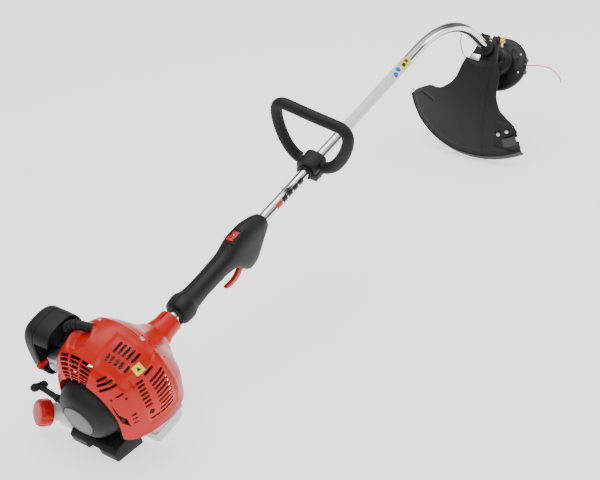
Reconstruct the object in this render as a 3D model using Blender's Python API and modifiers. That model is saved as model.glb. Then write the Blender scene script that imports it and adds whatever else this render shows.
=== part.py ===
"""String trimmer with a curved shaft, built as separate parts.

Everything is modelled in the shaft's own frame and parented to one empty,
which pitches the trimmer so that it stands on its engine stand and on the
rim of its shield.  In the shaft frame X runs forward along the straight
shaft, Y is the operator's left, Z is up, and the bend starts at the origin.
"""
import math

import bmesh
import bpy
from mathutils import Matrix, Vector

MM = 0.001
GAP = 0.3                      # clearance between neighbouring parts

# Shaft
TUBE_R = 11.1
TUBE_WALL = 1.6
BEND_R = 317.7
BEND_ANGLE = math.radians(53.97)
TUBE_REAR_X = -897.0
TUBE_END_K = 78.0              # straight length past the bend
CABLE_R = 3.2

# Cutting head, along the head axis from the end of the bend
HEAD_K = 181.4
HEAD_R = 68.5
HOUSING_R = 20.0
ARBOR_R = 7.0
CLAMP_K = 82.5
CLAMP_BOLT_BACK = -28.0
LINE_K = 188.0
LINE_R = 1.25
LINE_EXIT = math.radians(11.0)

# Shield
SHIELD_NECK_R = 50.0
SHIELD_RIM_R = 240.0
SHIELD_NECK_K = 70.4
SHIELD_CROWN = 10.0            # how far the fan bulges above a straight cone
SHIELD_NECK_DIP = 20.0
SHIELD_SKIRT = 25.0
SHIELD_WALL = 3.0
SHIELD_ROWS = 10
SHIELD_COLUMNS = 14

# Loop handle
HANDLE_X = -425.0
HANDLE_ROLL = math.radians(11.0)
HANDLE_BAR_R = 11.5
LINER_HALF = 24.0
HANDLE_LINER_R = 14.0
CLAMP_BOLTS = ((18.6, 0.0), (-18.6, 0.0))   # distance left, distance along the shaft

# Rear grip
TRIGGER_PIVOT = (-672.0, 0.0, -28.0)
TRIGGER_WIDTH = 7.5
SWITCH_CENTRE = (-683.0, -2.0, 29.0)
SWITCH_LENGTH = 27.0
SWITCH_WIDTH = 14.0

# Engine
NECK_X = -880.0
CYLINDER_X = -1016.0
CYLINDER_R = 33.0
BORE_R = 17.5
STARTER_R = 58.0
BADGE_R = 30.0
ROPE_X = -1110.0
ROPE_OFFSET = 12.5
ROPE_R = 1.5
COVER_WALL = 2.5
BOOT_R = 8.0
CARB_Y = 80.0
THROTTLE_X = -1064.0
CHOKE_PIVOT = (-1070.0, 97.0, 49.0)
FILTER_X = -1044.0
FILTER_Z = 60.0
FILTER_HALF_WIDTH = 44.0
FILTER_HALF_HEIGHT = 58.0
FILTER_ROUNDING = 0.62         # power of the outline: 1 is an oval, 0 a rectangle
FILTER_STEPS = 28
TANK_TOP = -42.0
TANK_LOW = -102.0
ARM_LOW = -88.0
TANK_WALL = 2.5
CAP_R = 24.0
CAP_LOBES = 10
CAP_LOBE_HEIGHT = 1.2
CAP_CENTRE = (-1120.0, 108.0, -47.0)
CAP_AXIS = (-0.76, 0.375, 0.52)

# Stance on the floor
STAND_REAR = (-1122.0, -88.0)
STAND_LENGTH = 60.0
RIM_LOW = (184.1, -438.8)
PITCH = math.atan2(STAND_REAR[1] - RIM_LOW[1], RIM_LOW[0] - STAND_REAR[0])

BEND_END = Vector((BEND_R * math.sin(BEND_ANGLE), 0.0, -BEND_R * (1.0 - math.cos(BEND_ANGLE))))
HEAD_AXIS = Vector((math.cos(BEND_ANGLE), 0.0, -math.sin(BEND_ANGLE)))
HEAD_BACK = Vector((-math.sin(BEND_ANGLE), 0.0, -math.cos(BEND_ANGLE)))
LEFT = Vector((0.0, 1.0, 0.0))
FORWARD = Vector((1.0, 0.0, 0.0))
UP = Vector((0.0, 0.0, 1.0))
ROPE_DIRECTION = Vector((0.0, 0.96, 0.28)).normalized()
ROPE_NORMAL = Vector((0.0, ROPE_DIRECTION.z, -ROPE_DIRECTION.y))

FINISHES = {
    "chrome": ((0.80, 0.80, 0.82), 0.15, 1.0),
    "steel": ((0.62, 0.62, 0.64), 0.30, 1.0),
    "gold_zinc": ((0.78, 0.55, 0.22), 0.35, 1.0),
    "aluminium": ((0.55, 0.56, 0.58), 0.45, 1.0),
    "red_plastic": ((0.85, 0.10, 0.02), 0.30, 0.0),
    "black_plastic": ((0.035, 0.035, 0.038), 0.50, 0.0),
    "black_rubber": ((0.022, 0.022, 0.024), 0.80, 0.0),
    "grey_plastic": ((0.16, 0.16, 0.17), 0.45, 0.0),
    "clear_plastic": ((0.72, 0.74, 0.72), 0.35, 0.0),
    "line_nylon": ((0.95, 0.28, 0.14), 0.40, 0.0),
    "foam": ((0.10, 0.10, 0.10), 0.95, 0.0),
}


def reset_scene():
    for obj in list(bpy.data.objects):
        bpy.data.objects.remove(obj)


reset_scene()
PARTS = bpy.data.collections.new("string_trimmer")
CUTTERS = bpy.data.collections.new("cutters")
bpy.context.scene.collection.children.link(PARTS)
bpy.context.scene.collection.children.link(CUTTERS)
FRAME = bpy.data.objects.new("shaft_frame", None)
PARTS.objects.link(FRAME)


# ---------------------------------------------------------------- helpers

def axes(origin, z_axis, x_hint=FORWARD):
    """Matrix that puts local Z along z_axis at origin, all in millimetres."""
    z = Vector(z_axis).normalized()
    x = Vector(x_hint) - z * Vector(x_hint).dot(z)
    if x.length < 1e-4:
        x = UP - z * UP.dot(z)
    x.normalize()
    y = z.cross(x)
    rows = Matrix((x, y, z)).transposed()
    return Matrix.Translation(Vector(origin) * MM) @ rows.to_4x4()


def head_point(left, back, along):
    """Point by its distances left, back and along the head axis from the bend's end."""
    return BEND_END + LEFT * left + HEAD_BACK * back + HEAD_AXIS * along


def head_frame(along, left=0.0, back=0.0):
    """Frame on the head axis: local Z towards the engine, X to the back."""
    return axes(head_point(left, back, along), -HEAD_AXIS, HEAD_BACK)


def spline(points, count):
    """count + 1 points on a Catmull-Rom curve through the given points."""
    keys = [Vector(p) for p in points]
    ends = [keys[0] * 2 - keys[1]] + keys + [keys[-1] * 2 - keys[-2]]
    result = []
    for i in range(count + 1):
        place = i * (len(keys) - 1) / count
        k = min(int(place), len(keys) - 2)
        t = place - k
        a, b, c, d = ends[k:k + 4]
        cubic = b * 2 + (c - a) * t + (a * 2 - b * 5 + c * 4 - d) * t * t
        cubic += (b * 3 - a - c * 3 + d) * t * t * t
        result.append(cubic * 0.5)
    return result


def material_for(name, finish):
    colour, roughness, metallic = FINISHES[finish]
    material = bpy.data.materials.new(name)
    material.use_nodes = True
    shader = material.node_tree.nodes["Principled BSDF"]
    shader.inputs["Base Color"].default_value = (*colour, 1.0)
    shader.inputs["Roughness"].default_value = roughness
    shader.inputs["Metallic"].default_value = metallic
    material.diffuse_color = (*colour, 1.0)
    return material


def add_object(name, data, finish, matrix=None, cutter=False):
    """Link data as a part with its own material, or as a hidden cutter."""
    obj = bpy.data.objects.new(name, data)
    if cutter:
        CUTTERS.objects.link(obj)
        obj.hide_render = True
        obj.display_type = "WIRE"
    else:
        PARTS.objects.link(obj)
        data.materials.append(material_for(name, finish))
    obj.parent = FRAME
    if matrix is not None:
        obj.matrix_basis = matrix
    return obj


def shade(obj):
    obj.data.shade_smooth()
    obj.data.set_sharp_from_angle(angle=math.radians(35.0))
    return obj


def bevel(obj, width, segments=2):
    mod = obj.modifiers.new("Bevel", "BEVEL")
    mod.width = width * MM
    mod.segments = segments
    mod.limit_method = "ANGLE"
    mod.angle_limit = math.radians(40.0)
    return obj


def solidify(obj, wall):
    mod = obj.modifiers.new("Wall", "SOLIDIFY")
    mod.thickness = wall * MM
    mod.offset = -1.0
    mod.use_even_offset = True
    return obj


def boolean(obj, cutter, operation="DIFFERENCE"):
    mod = obj.modifiers.new(cutter.name, "BOOLEAN")
    mod.operation = operation
    mod.object = cutter
    mod.solver = "EXACT"
    return obj


def turned(name, finish, profile, matrix, steps=20, ring=False, cutter=False):
    """Turned part: profile of (radius, height) pairs, outer side top to bottom."""
    bm = bmesh.new()
    verts = [bm.verts.new((r * MM, 0.0, h * MM)) for r, h in profile]
    for a, b in zip(verts, verts[1:]):
        bm.edges.new((a, b))
    if ring:
        bm.edges.new((verts[-1], verts[0]))
    mesh = bpy.data.meshes.new(name)
    bm.to_mesh(mesh)
    bm.free()
    obj = add_object(name, mesh, finish, matrix, cutter)
    mod = obj.modifiers.new("Turn", "SCREW")
    mod.steps = steps
    mod.render_steps = steps
    mod.use_merge_vertices = True
    mod.merge_threshold = 0.00001
    mod.use_smooth_shade = True
    return obj


def box(name, finish, size, matrix, cutter=False):
    bm = bmesh.new()
    bmesh.ops.create_cube(bm, size=1.0)
    bmesh.ops.scale(bm, vec=Vector(size) * MM, verts=bm.verts)
    mesh = bpy.data.meshes.new(name)
    bm.to_mesh(mesh)
    bm.free()
    return add_object(name, mesh, finish, matrix, cutter)


def box_at(name, finish, low, high, cutter=False):
    """Box between two corners given in the shaft frame."""
    centre = (Vector(low) + Vector(high)) * 0.5
    size = Vector(high) - Vector(low)
    return box(name, finish, size, Matrix.Translation(centre * MM), cutter)


def drum(name, radius, length, matrix, finish=None, segments=20, cutter=True):
    """Plain cylinder centred on its frame, mostly used as a cutter."""
    bm = bmesh.new()
    bmesh.ops.create_cone(bm, cap_ends=True, segments=segments, radius1=radius * MM,
                          radius2=radius * MM, depth=length * MM)
    mesh = bpy.data.meshes.new(name)
    bm.to_mesh(mesh)
    bm.free()
    return add_object(name, mesh, finish, matrix, cutter)


def rod(name, finish, points, radius, resolution=2, caps=True):
    """Round rod, wire or tube skin along a list of points."""
    curve = bpy.data.curves.new(name, "CURVE")
    curve.dimensions = "3D"
    curve.bevel_depth = radius * MM
    curve.bevel_resolution = resolution
    curve.use_fill_caps = caps
    line = curve.splines.new("POLY")
    line.points.add(len(points) - 1)
    for target, point in zip(line.points, points):
        target.co = (*(Vector(point) * MM), 1.0)
    return add_object(name, curve, finish)


def plate(name, finish, outline, thickness, matrix, cutter=False):
    """Flat outline of (x, y) pairs, thickened about its own plane."""
    curve = bpy.data.curves.new(name, "CURVE")
    curve.dimensions = "2D"
    curve.fill_mode = "BOTH"
    curve.extrude = thickness * 0.5 * MM
    line = curve.splines.new("POLY")
    line.points.add(len(outline) - 1)
    for target, (x, y) in zip(line.points, outline):
        target.co = (x * MM, y * MM, 0.0, 1.0)
    line.use_cyclic_u = True
    flat = bpy.data.objects.new(name + "_outline", curve)
    CUTTERS.objects.link(flat)
    bpy.context.view_layer.update()
    mesh = bpy.data.meshes.new_from_object(flat.evaluated_get(bpy.context.evaluated_depsgraph_get()))
    bpy.data.objects.remove(flat)
    bm = bmesh.new()
    bm.from_mesh(mesh)
    bmesh.ops.remove_doubles(bm, verts=bm.verts, dist=0.00001)
    bmesh.ops.recalc_face_normals(bm, faces=bm.faces)
    bm.to_mesh(mesh)
    bm.free()
    mesh.materials.clear()
    mesh.name = name
    return add_object(name, mesh, finish, matrix, cutter)


def skin(name, finish, rows, closed=False, caps=False, holes=()):
    """Surface through rows of points; holes are (row, column) cells left out."""
    bm = bmesh.new()
    grid = [[bm.verts.new(Vector(p) * MM) for p in row] for row in rows]
    count = len(rows[0])
    columns = count if closed else count - 1
    for i in range(len(rows) - 1):
        for j in range(columns):
            if (i, j) in holes:
                continue
            k = (j + 1) % count
            bm.faces.new((grid[i][j], grid[i][k], grid[i + 1][k], grid[i + 1][j]))
    if caps:
        bm.faces.new(grid[0][::-1])
        bm.faces.new(grid[-1])
    loose = [v for v in bm.verts if not v.link_faces]
    bmesh.ops.delete(bm, geom=loose, context="VERTS")
    bmesh.ops.recalc_face_normals(bm, faces=bm.faces)
    mesh = bpy.data.meshes.new(name)
    bm.to_mesh(mesh)
    bm.free()
    return shade(add_object(name, mesh, finish))


def oval(x, half_width, top, bottom, count=24, power=2.4):
    """Superellipse section across the shaft at x."""
    middle = (top + bottom) * 0.5
    half_height = (top - bottom) * 0.5
    ring = []
    for i in range(count):
        angle = math.tau * i / count
        side = math.copysign(abs(math.cos(angle)) ** (2.0 / power), math.cos(angle))
        rise = math.copysign(abs(math.sin(angle)) ** (2.0 / power), math.sin(angle))
        ring.append((x, half_width * side, middle + half_height * rise))
    return ring


# ------------------------------------------------------------------ shaft

def shaft_path(rear, end_k, steps=11):
    points = [(rear, 0.0, 0.0)]
    for i in range(steps + 1):
        angle = BEND_ANGLE * i / steps
        points.append((BEND_R * math.sin(angle), 0.0, -BEND_R * (1.0 - math.cos(angle))))
    points.append(head_point(0.0, 0.0, end_k))
    return points


def shaft_tube():
    tube = rod("shaft_tube", "chrome", shaft_path(TUBE_REAR_X, TUBE_END_K), TUBE_R, 4, caps=False)
    solidify(tube, TUBE_WALL)


def drive_cable():
    rod("drive_cable", "steel", shaft_path(TUBE_REAR_X - 2.0, TUBE_END_K + 2.0, 10), CABLE_R)


# -------------------------------------------------------------- rear grip

GRIP_SECTIONS = (
    # x, half width, top, bottom
    (-868.0, 17.0, 17.0, -17.0),
    (-862.0, 23.5, 23.5, -23.5),
    (-842.0, 25.0, 25.0, -25.0),
    (-826.0, 20.5, 20.5, -20.5),
    (-800.0, 18.5, 18.5, -18.5),
    (-745.0, 19.0, 19.0, -19.5),
    (-718.0, 20.0, 21.5, -24.0),
    (-702.0, 21.0, 28.0, -31.0),
    (-686.0, 22.0, 33.0, -48.0),
    (-668.0, 22.0, 34.0, -64.0),
    (-648.0, 21.5, 33.0, -62.0),
    (-628.0, 20.0, 28.0, -44.0),
    (-612.0, 18.5, 22.0, -27.0),
    (-600.0, 15.5, 16.0, -17.0),
)


def grip_half(name, side):
    """One half of the grip, split on the shaft's middle plane."""
    rows = [oval(x, w, top, bottom) for x, w, top, bottom in GRIP_SECTIONS]
    half = skin(name, "black_plastic", rows, closed=True, caps=True)
    low = -60.0 if side > 0 else -0.15
    high = 0.15 if side > 0 else 60.0
    boolean(half, box_at(name + "_split", None, (-900.0, low, -90.0), (-570.0, high, 60.0), True))
    boolean(half, drum(name + "_bore", TUBE_R + GAP, 400.0, axes((-734.0, 0.0, 0.0), FORWARD)))
    slot_half = TRIGGER_WIDTH * 0.5 + 0.6
    boolean(half, box_at(name + "_trigger_slot", None, (-760.0, -slot_half, -90.0),
                         (-656.0, slot_half, -12.0), True))
    x, y, z = SWITCH_CENTRE
    reach = SWITCH_LENGTH * 0.5 + 1.0
    wide = SWITCH_WIDTH * 0.5 + 0.6
    boolean(half, box_at(name + "_switch_pocket", None, (x - reach, y - wide, z - 9.0),
                         (x + reach, y + wide, z + 30.0), True))


def trigger():
    """Finger trigger, hung on its pivot inside the grip's front lobe."""
    outline = [(-8.0, 8.0), (6.0, 8.0), (9.0, 0.0), (6.0, -10.0), (-6.0, -20.0), (-24.0, -32.0),
               (-44.0, -34.0), (-62.0, -29.0), (-66.0, -25.0), (-62.0, -22.0), (-42.0, -24.0),
               (-24.0, -18.0), (-12.0, -6.0)]
    x, y, z = TRIGGER_PIVOT
    # local x stays along the shaft, local y becomes up
    matrix = Matrix.Translation(Vector((x, y, z)) * MM) @ Matrix.Rotation(math.radians(90.0), 4, "X")
    lever = plate("trigger", "red_plastic", outline, TRIGGER_WIDTH, matrix)
    bevel(lever, 1.2)


def stop_switch():
    x, y, z = SWITCH_CENTRE
    half = SWITCH_LENGTH * 0.5
    outline = [(-half, -3.0), (-half, 5.5), (-half + 5.0, 6.0), (0.0, 3.6), (half - 5.0, 5.2),
               (half, 4.4), (half, -3.0), (0.0, -6.0)]
    matrix = Matrix.Translation(Vector((x, y, z)) * MM) @ Matrix.Rotation(math.radians(90.0), 4, "X")
    bevel(plate("stop_switch", "red_plastic", outline, SWITCH_WIDTH, matrix), 0.8)


def throttle_cable():
    route = [(-870.5, 8.0, -15.0), (-884.0, 24.0, -14.0), (-905.0, 38.0, -6.0), (-935.0, 52.0, 10.0),
             (-965.0, 62.0, 34.0), (-995.0, 72.0, 58.0), (-1020.0, 79.0, 72.0), (-1045.0, 84.0, 73.0)]
    rod("throttle_cable", "black_rubber", spline(route, 18), 2.5)


# ------------------------------------------------------------ loop handle

def handle_point(left, up):
    """Point in the loop's plane, rolled a little to the right."""
    y = left * math.cos(HANDLE_ROLL) - up * math.sin(HANDLE_ROLL)
    z = left * math.sin(HANDLE_ROLL) + up * math.cos(HANDLE_ROLL)
    return Vector((HANDLE_X, y, z))


def handle_frame(left, up, z_axis=FORWARD):
    x_axis = handle_point(1.0, 0.0) - handle_point(0.0, 0.0)
    return axes(handle_point(left, up), z_axis, x_axis)


def handle_liner():
    matrix = axes((HANDLE_X, 0.0, 0.0), FORWARD)
    inner = TUBE_R + 0.1
    outer = HANDLE_LINER_R
    lip = outer + 2.0
    profile = [(lip, LINER_HALF), (lip, LINER_HALF - 2.0), (outer, LINER_HALF - 2.0),
               (outer, -LINER_HALF + 2.0), (lip, -LINER_HALF + 2.0), (lip, -LINER_HALF),
               (inner, -LINER_HALF), (inner, LINER_HALF)]
    turned("handle_liner", "black_rubber", profile, matrix, 24, True)


def loop_handle():
    half = [(26.4, 9.5), (36.0, 12.5), (53.0, 27.0), (66.0, 49.0), (75.0, 72.0), (80.5, 98.0),
            (79.0, 119.0), (67.0, 131.0), (45.0, 132.5), (20.0, 132.0), (0.0, 132.0)]
    other = [(-left, up) for left, up in reversed(half[:-1])]
    keys = [handle_point(left, up) for left, up in half + other]
    rod("loop_handle", "black_rubber", spline(keys, 30), HANDLE_BAR_R, 4)


def handle_bore(name):
    return drum(name, HANDLE_LINER_R + 0.15, 80.0, handle_frame(0.0, 0.0), segments=32)


def handle_cradle():
    """Upper half of the clamp, between the loop's two ends."""
    outline = [(-22.8, 1.0), (22.8, 1.0), (22.8, 14.0), (16.0, 21.0), (0.0, 24.0), (-16.0, 21.0),
               (-22.8, 14.0)]
    cradle = plate("handle_cradle", "black_plastic", outline, 40.0, handle_frame(0.0, 0.0))
    boolean(cradle, handle_bore("cradle_bore"))
    for number, (side, along) in enumerate(CLAMP_BOLTS, 1):
        hole = drum("cradle_hole_%d" % number, 2.8, 40.0, handle_frame(side, 6.0, bolt_axis()))
        hole.location += Vector((along * MM, 0.0, 0.0))
        boolean(cradle, hole)


def bolt_axis():
    return handle_point(0.0, 1.0) - handle_point(0.0, 0.0)


def handle_clamp():
    """Lower half of the clamp, pulled up by the bolts."""
    outline = [(-23.5, -1.2), (-23.5, -17.0), (-20.0, -18.5), (20.0, -18.5), (23.5, -17.0), (23.5, -1.2)]
    clamp = plate("handle_clamp", "black_plastic", outline, 36.0, handle_frame(0.0, 0.0))
    boolean(clamp, handle_bore("clamp_bore"))
    for number, (side, along) in enumerate(CLAMP_BOLTS, 1):
        hole = drum("clamp_hole_%d" % number, 2.8, 60.0, handle_frame(side, -6.0, bolt_axis()))
        hole.location += Vector((along * MM, 0.0, 0.0))
        boolean(clamp, hole)


def handle_bolts():
    """Two bolts from below, heads under the clamp's ledges."""
    for number, (side, along) in enumerate(CLAMP_BOLTS, 1):
        profile = [(0.0, 12.5), (2.4, 12.5), (2.4, -18.9), (4.6, -18.9), (4.6, -22.5), (0.0, -22.5)]
        matrix = handle_frame(side, 0.0, bolt_axis())
        bolt = turned("handle_bolt_%d" % number, "gold_zinc", profile, matrix, 12)
        bolt.location += Vector((along * MM, 0.0, 0.0))


# ----------------------------------------------------------------- engine

COVER_SECTIONS = (
    # x, then the section from its left edge over the top to its lower right edge
    (-926.0, (20, 26), (8, 32), (-9, 32), (-23, 24), (-31, 11), (-33, -6), (-28, -20)),
    (-945.0, (24, 38), (9, 49), (-12, 50), (-32, 40), (-47, 22), (-57, -4), (-52, -28)),
    (-960.0, (32, 52), (16, 67), (-14, 69), (-42, 56), (-64, 34), (-80, 0), (-75, -40)),
    (-978.0, (42, 68), (24, 89), (-12, 94), (-48, 80), (-76, 54), (-96, 6), (-91, -50)),
    (-1000.0, (50, 78), (34, 105), (-10, 113), (-48, 100), (-84, 74), (-104, 14), (-98, -52)),
    (-1030.0, (59, 79), (42, 109), (-2, 118), (-45, 106), (-86, 82), (-105, 20), (-99, -52)),
    (-1046.0, (63, 76), (47, 107), (1, 117), (-43, 104), (-83, 80), (-101, 18), (-95, -52)),
    (-1062.0, (65, 72), (48, 102), (3, 112), (-40, 100), (-76, 75), (-95, 17), (-90, -52)),
)
COVER_COLUMNS = 24
COVER_ROWS = 14


def cover_rows(sections, row_count, column_count):
    """Even grid of points over a set of matching sections."""
    rows = []
    for section in sections:
        x = section[0]
        rows.append(spline([(x, y, z) for y, z in section[1:]], column_count))
    columns = [spline([row[j] for row in rows], row_count) for j in range(column_count + 1)]
    return [[column[i] for column in columns] for i in range(row_count + 1)]


def cover_slots():
    """Cells of the cover's grid left open: cooling slots and the plug's opening."""
    cells = set()
    for row in (6, 8, 9):
        cells.update((row, column) for column in (11, 13, 15))
    for row in (6, 7, 9, 10):
        cells.update((row, column) for column in (18, 20, 22))
    for row in range(8, 14):
        cells.update((row, column) for column in range(1, 8))
    return cells


def engine_cover():
    rows = cover_rows(COVER_SECTIONS, COVER_ROWS, COVER_COLUMNS)
    solidify(skin("engine_cover", "red_plastic", rows, holes=cover_slots()), COVER_WALL)


GRILLE_SECTIONS = (
    # x, then the section from low on the left over the top to the lower right
    (-1063.2, (60, 8), (64, 40), (65, 72), (48, 102), (3, 112), (-40, 100), (-76, 75), (-95, 17), (-90, -52)),
    (-1084.0, (60, 6), (62, 37), (60, 69), (45, 94), (4, 103), (-34, 89), (-64, 64), (-82, 12), (-78, -52)),
    (-1096.0, (60, 5), (60, 33), (53, 58), (37, 76), (3, 84), (-29, 74), (-54, 51), (-70, 6), (-67, -49)),
    (-1101.0, (60, 5), (56, 29), (45, 49), (29, 61), (2, 69), (-25, 63), (-48, 43), (-64, 4), (-60, -46)),
)


def rear_grille():
    rows = cover_rows(GRILLE_SECTIONS, 6, 24)
    holes = set()
    for row in (1, 3):
        for start in (2, 5, 8):
            holes.update((row, column) for column in range(start, start + 2))
    solidify(skin("rear_grille", "red_plastic", rows, holes=holes), 2.2)


def along_shaft(x):
    """Frame on the shaft axis with local Z pointing forward."""
    return axes((x, 0.0, 0.0), FORWARD, UP)


def clutch_case():
    profile = [(20.5, NECK_X), (22.5, -900.0), (26.0, -914.0), (28.8, -925.0), (30.5, -950.0),
               (26.0, -950.0), (26.0, -922.0), (13.3, -919.0), (13.3, -905.0), (TUBE_R + GAP, -904.0),
               (TUBE_R + GAP, NECK_X)]
    turned("clutch_case", "red_plastic", profile, along_shaft(0.0), 24, True)


def clutch_drum():
    profile = [(8.0, -901.5), (8.0, -926.0), (24.5, -926.0), (24.5, -946.0), (22.6, -946.0),
               (22.6, -928.5), (3.6, -928.5), (3.6, -901.5)]
    turned("clutch_drum", "steel", profile, along_shaft(0.0), 24, True)


def clutch_shoes():
    profile = [(21.6, -930.0), (21.6, -944.0), (5.4, -944.0), (5.4, -930.0)]
    turned("clutch_shoes", "aluminium", profile, along_shaft(0.0), 28, True)


def flywheel():
    """Cast flywheel with the cooling fan's vanes on its front face."""
    profile = [(14.0, -950.5), (40.0, -962.0), (40.0, -970.0), (5.4, -970.0), (5.4, -950.5)]
    wheel = turned("flywheel", "aluminium", profile, along_shaft(0.0), 32, True)
    for i in range(12):
        angle = math.tau * i / 12
        matrix = Matrix.Rotation(angle, 4, "X") @ Matrix.Translation(Vector((-960.0, 0.0, 28.0)) * MM)
        boolean(wheel, box("fan_vane_%d" % i, None, (18.0, 2.0, 20.0), matrix, True), "UNION")


def crankshaft():
    profile = [(0.0, -929.5), (5.0, -929.5), (5.0, -976.0), (7.5, -976.0), (7.5, -1000.5),
               (24.0, -1000.5), (24.0, -1009.0), (0.0, -1009.0)]
    turned("crankshaft", "steel", profile, along_shaft(0.0), 28)


def crankcase():
    case = box_at("crankcase", "aluminium", (-1041.0, -33.0, -34.0), (-978.0, 33.0, 33.5))
    bevel(case, 4.0)
    boolean(case, drum("case_shaft_bore", 7.9, 60.0, along_shaft(-990.0)))
    boolean(case, drum("case_chamber", 26.5, 46.0, along_shaft(-1020.0), segments=32))
    boolean(case, drum("case_mouth", BORE_R + 2.0, 40.0, axes((CYLINDER_X, 0.0, 30.0), UP), segments=32))


def connecting_rod():
    """Rod with its big-end pin, standing at top dead centre."""
    outline = [(5.0, 6.0), (9.0, 14.0), (4.0, 22.0), (3.0, 44.0), (6.0, 50.0), (0.0, 57.0),
               (-6.0, 50.0), (-3.0, 44.0), (-4.0, 22.0), (-9.0, 14.0), (-5.0, 6.0)]
    matrix = axes((CYLINDER_X, 0.0, 0.0), FORWARD, LEFT)
    plate("connecting_rod", "steel", outline, 8.0, matrix)


def piston():
    skirt = BORE_R - GAP
    profile = [(0.0, 80.0), (skirt, 80.0), (skirt, 44.0), (14.5, 44.0), (14.5, 74.0), (0.0, 74.0)]
    turned("piston", "aluminium", profile, axes((CYLINDER_X, 0.0, 0.0), UP), 32)


def cylinder():
    """Finned barrel with its head cast on."""
    outer = [(12.0, 100.0), (12.0, 96.0)]
    for i in range(5):
        top = 94.0 - i * 11.5
        reach = CYLINDER_R - (3.0 if i == 0 else 0.0)
        outer += [(reach, top), (reach, top - 2.2), (22.0, top - 2.8), (22.0, top - 10.6)]
    outer += [(24.0, 36.0), (24.0, 34.0)]
    inner = [(BORE_R, 34.0), (BORE_R, 84.0), (5.4, 88.0), (5.4, 100.0)]
    turned("cylinder", "aluminium", outer + inner, axes((CYLINDER_X, 0.0, 0.0), UP), 18, True)


def spark_plug():
    profile = [(0.0, 110.0), (3.0, 110.0), (4.0, 106.0), (8.0, 105.0), (8.0, 100.5), (5.0, 100.5),
               (5.0, 89.0), (0.0, 89.0)]
    turned("spark_plug", "steel", profile, axes((CYLINDER_X, 0.0, 0.0), UP), 16)


def spark_plug_boot():
    """Rubber boot turned over towards the left."""
    route = [(CYLINDER_X - 4.0, 10.5, 108.0), (CYLINDER_X - 10.0, 26.0, 113.0),
             (CYLINDER_X - 16.0, 42.0, 118.0), (CYLINDER_X - 20.0, 56.0, 114.0),
             (CYLINDER_X - 22.0, 66.0, 104.0)]
    rod("spark_plug_boot", "black_rubber", spline(route, 8), BOOT_R, 3)


def ignition_coil():
    bevel(box_at("ignition_coil", "black_plastic", (-970.0, -13.0, 43.0), (-956.0, 13.0, 57.5)), 2.0)


def muffler():
    bevel(box_at("muffler", "steel", (-1042.0, -84.0, -26.0), (-992.0, -40.0, 36.0)), 6.0, 3)


def starter_cover():
    profile = [(STARTER_R, -1060.0), (STARTER_R, -1086.0), (56.5, -1100.0), (52.0, -1113.0), (44.0, -1122.0),
               (34.0, -1127.0), (BADGE_R + 1.0, -1127.5), (BADGE_R + 1.0, -1126.0), (3.0, -1126.0),
               (3.0, -1123.5), (32.0, -1123.5), (42.0, -1119.5), (49.5, -1111.0), (54.0, -1099.0),
               (55.5, -1086.0), (55.5, -1060.0)]
    cover = turned("starter_cover", "black_plastic", profile, along_shaft(0.0), 28, True)
    boolean(cover, drum("rope_hole", 3.0, 30.0, axes(rope_point(54.0), ROPE_DIRECTION)))


def rope_point(along):
    """Point on the rope's line, measured from where it leaves the pulley."""
    return Vector((ROPE_X, 0.0, 0.0)) + ROPE_NORMAL * ROPE_OFFSET + ROPE_DIRECTION * along


def starter_badge():
    profile = [(0.0, -1126.3), (BADGE_R, -1126.3), (BADGE_R, -1129.0), (BADGE_R - 2.0, -1130.0),
               (0.0, -1130.0)]
    turned("starter_badge", "grey_plastic", profile, along_shaft(0.0), 32)


def starter_pulley():
    profile = [(24.0, ROPE_X + 5.5), (24.0, ROPE_X + 3.5), (10.7, ROPE_X + 2.0), (10.7, ROPE_X - 2.0),
               (24.0, ROPE_X - 3.5), (24.0, ROPE_X - 5.5), (4.0, ROPE_X - 5.5), (4.0, ROPE_X + 5.5)]
    turned("starter_pulley", "black_plastic", profile, along_shaft(0.0), 24, True)


def starter_rope():
    rod("starter_rope", "foam", [rope_point(-45.0), rope_point(0.0), rope_point(59.7)], ROPE_R)


def starter_grip():
    """Moulded T handle on the end of the rope."""
    bar_axis = Vector((0.84, 0.0, -0.53)).normalized()
    end = rope_point(101.0)
    profile = [(0.0, 44.0), (5.5, 44.0), (5.0, 20.0), (7.0, 0.0), (0.0, 0.0)]
    stem = turned("starter_grip", "black_plastic", profile, axes(rope_point(60.0), ROPE_DIRECTION), 20)
    bar_profile = [(0.0, 18.0), (5.0, 18.0), (7.5, 12.0), (6.5, 0.0), (7.5, -12.0), (5.0, -18.0),
                   (0.0, -18.0)]
    bar = turned("starter_bar", None, bar_profile, axes(end, bar_axis, ROPE_DIRECTION), 20, cutter=True)
    boolean(stem, bar, "UNION")


def intake_block():
    bevel(box_at("intake_block", "black_plastic", (-1058.0, 34.0, 36.0), (-1008.0, 67.0, 62.0)), 3.0)


def carburettor():
    body = box_at("carburettor", "aluminium", (-1082.0, 67.5, 28.0), (-1040.0, 94.3, 64.0))
    bevel(body, 3.0)
    boolean(body, drum("carb_throat", 8.0, 50.0, axes((-1056.0, CARB_Y, 47.0), LEFT)))


def carb_throttle_lever():
    outline = [(-7.0, -6.0), (7.0, -6.0), (8.0, 0.0), (6.0, 6.0), (3.0, 16.0), (-3.0, 16.0), (-7.0, 6.0)]
    turn = Matrix.Rotation(math.radians(-90.0), 4, "Z")
    matrix = Matrix.Translation(Vector((THROTTLE_X, CARB_Y, 66.5)) * MM) @ turn
    plate("carb_throttle_lever", "black_plastic", outline, 3.0, matrix)


def purge_bulb():
    profile = [(0.0, 27.6), (9.0, 27.6), (9.0, 25.0), (7.5, 20.0), (4.0, 17.0), (0.0, 16.0)]
    turned("purge_bulb", "clear_plastic", profile, axes((THROTTLE_X, CARB_Y, 0.0), UP), 20)


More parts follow.
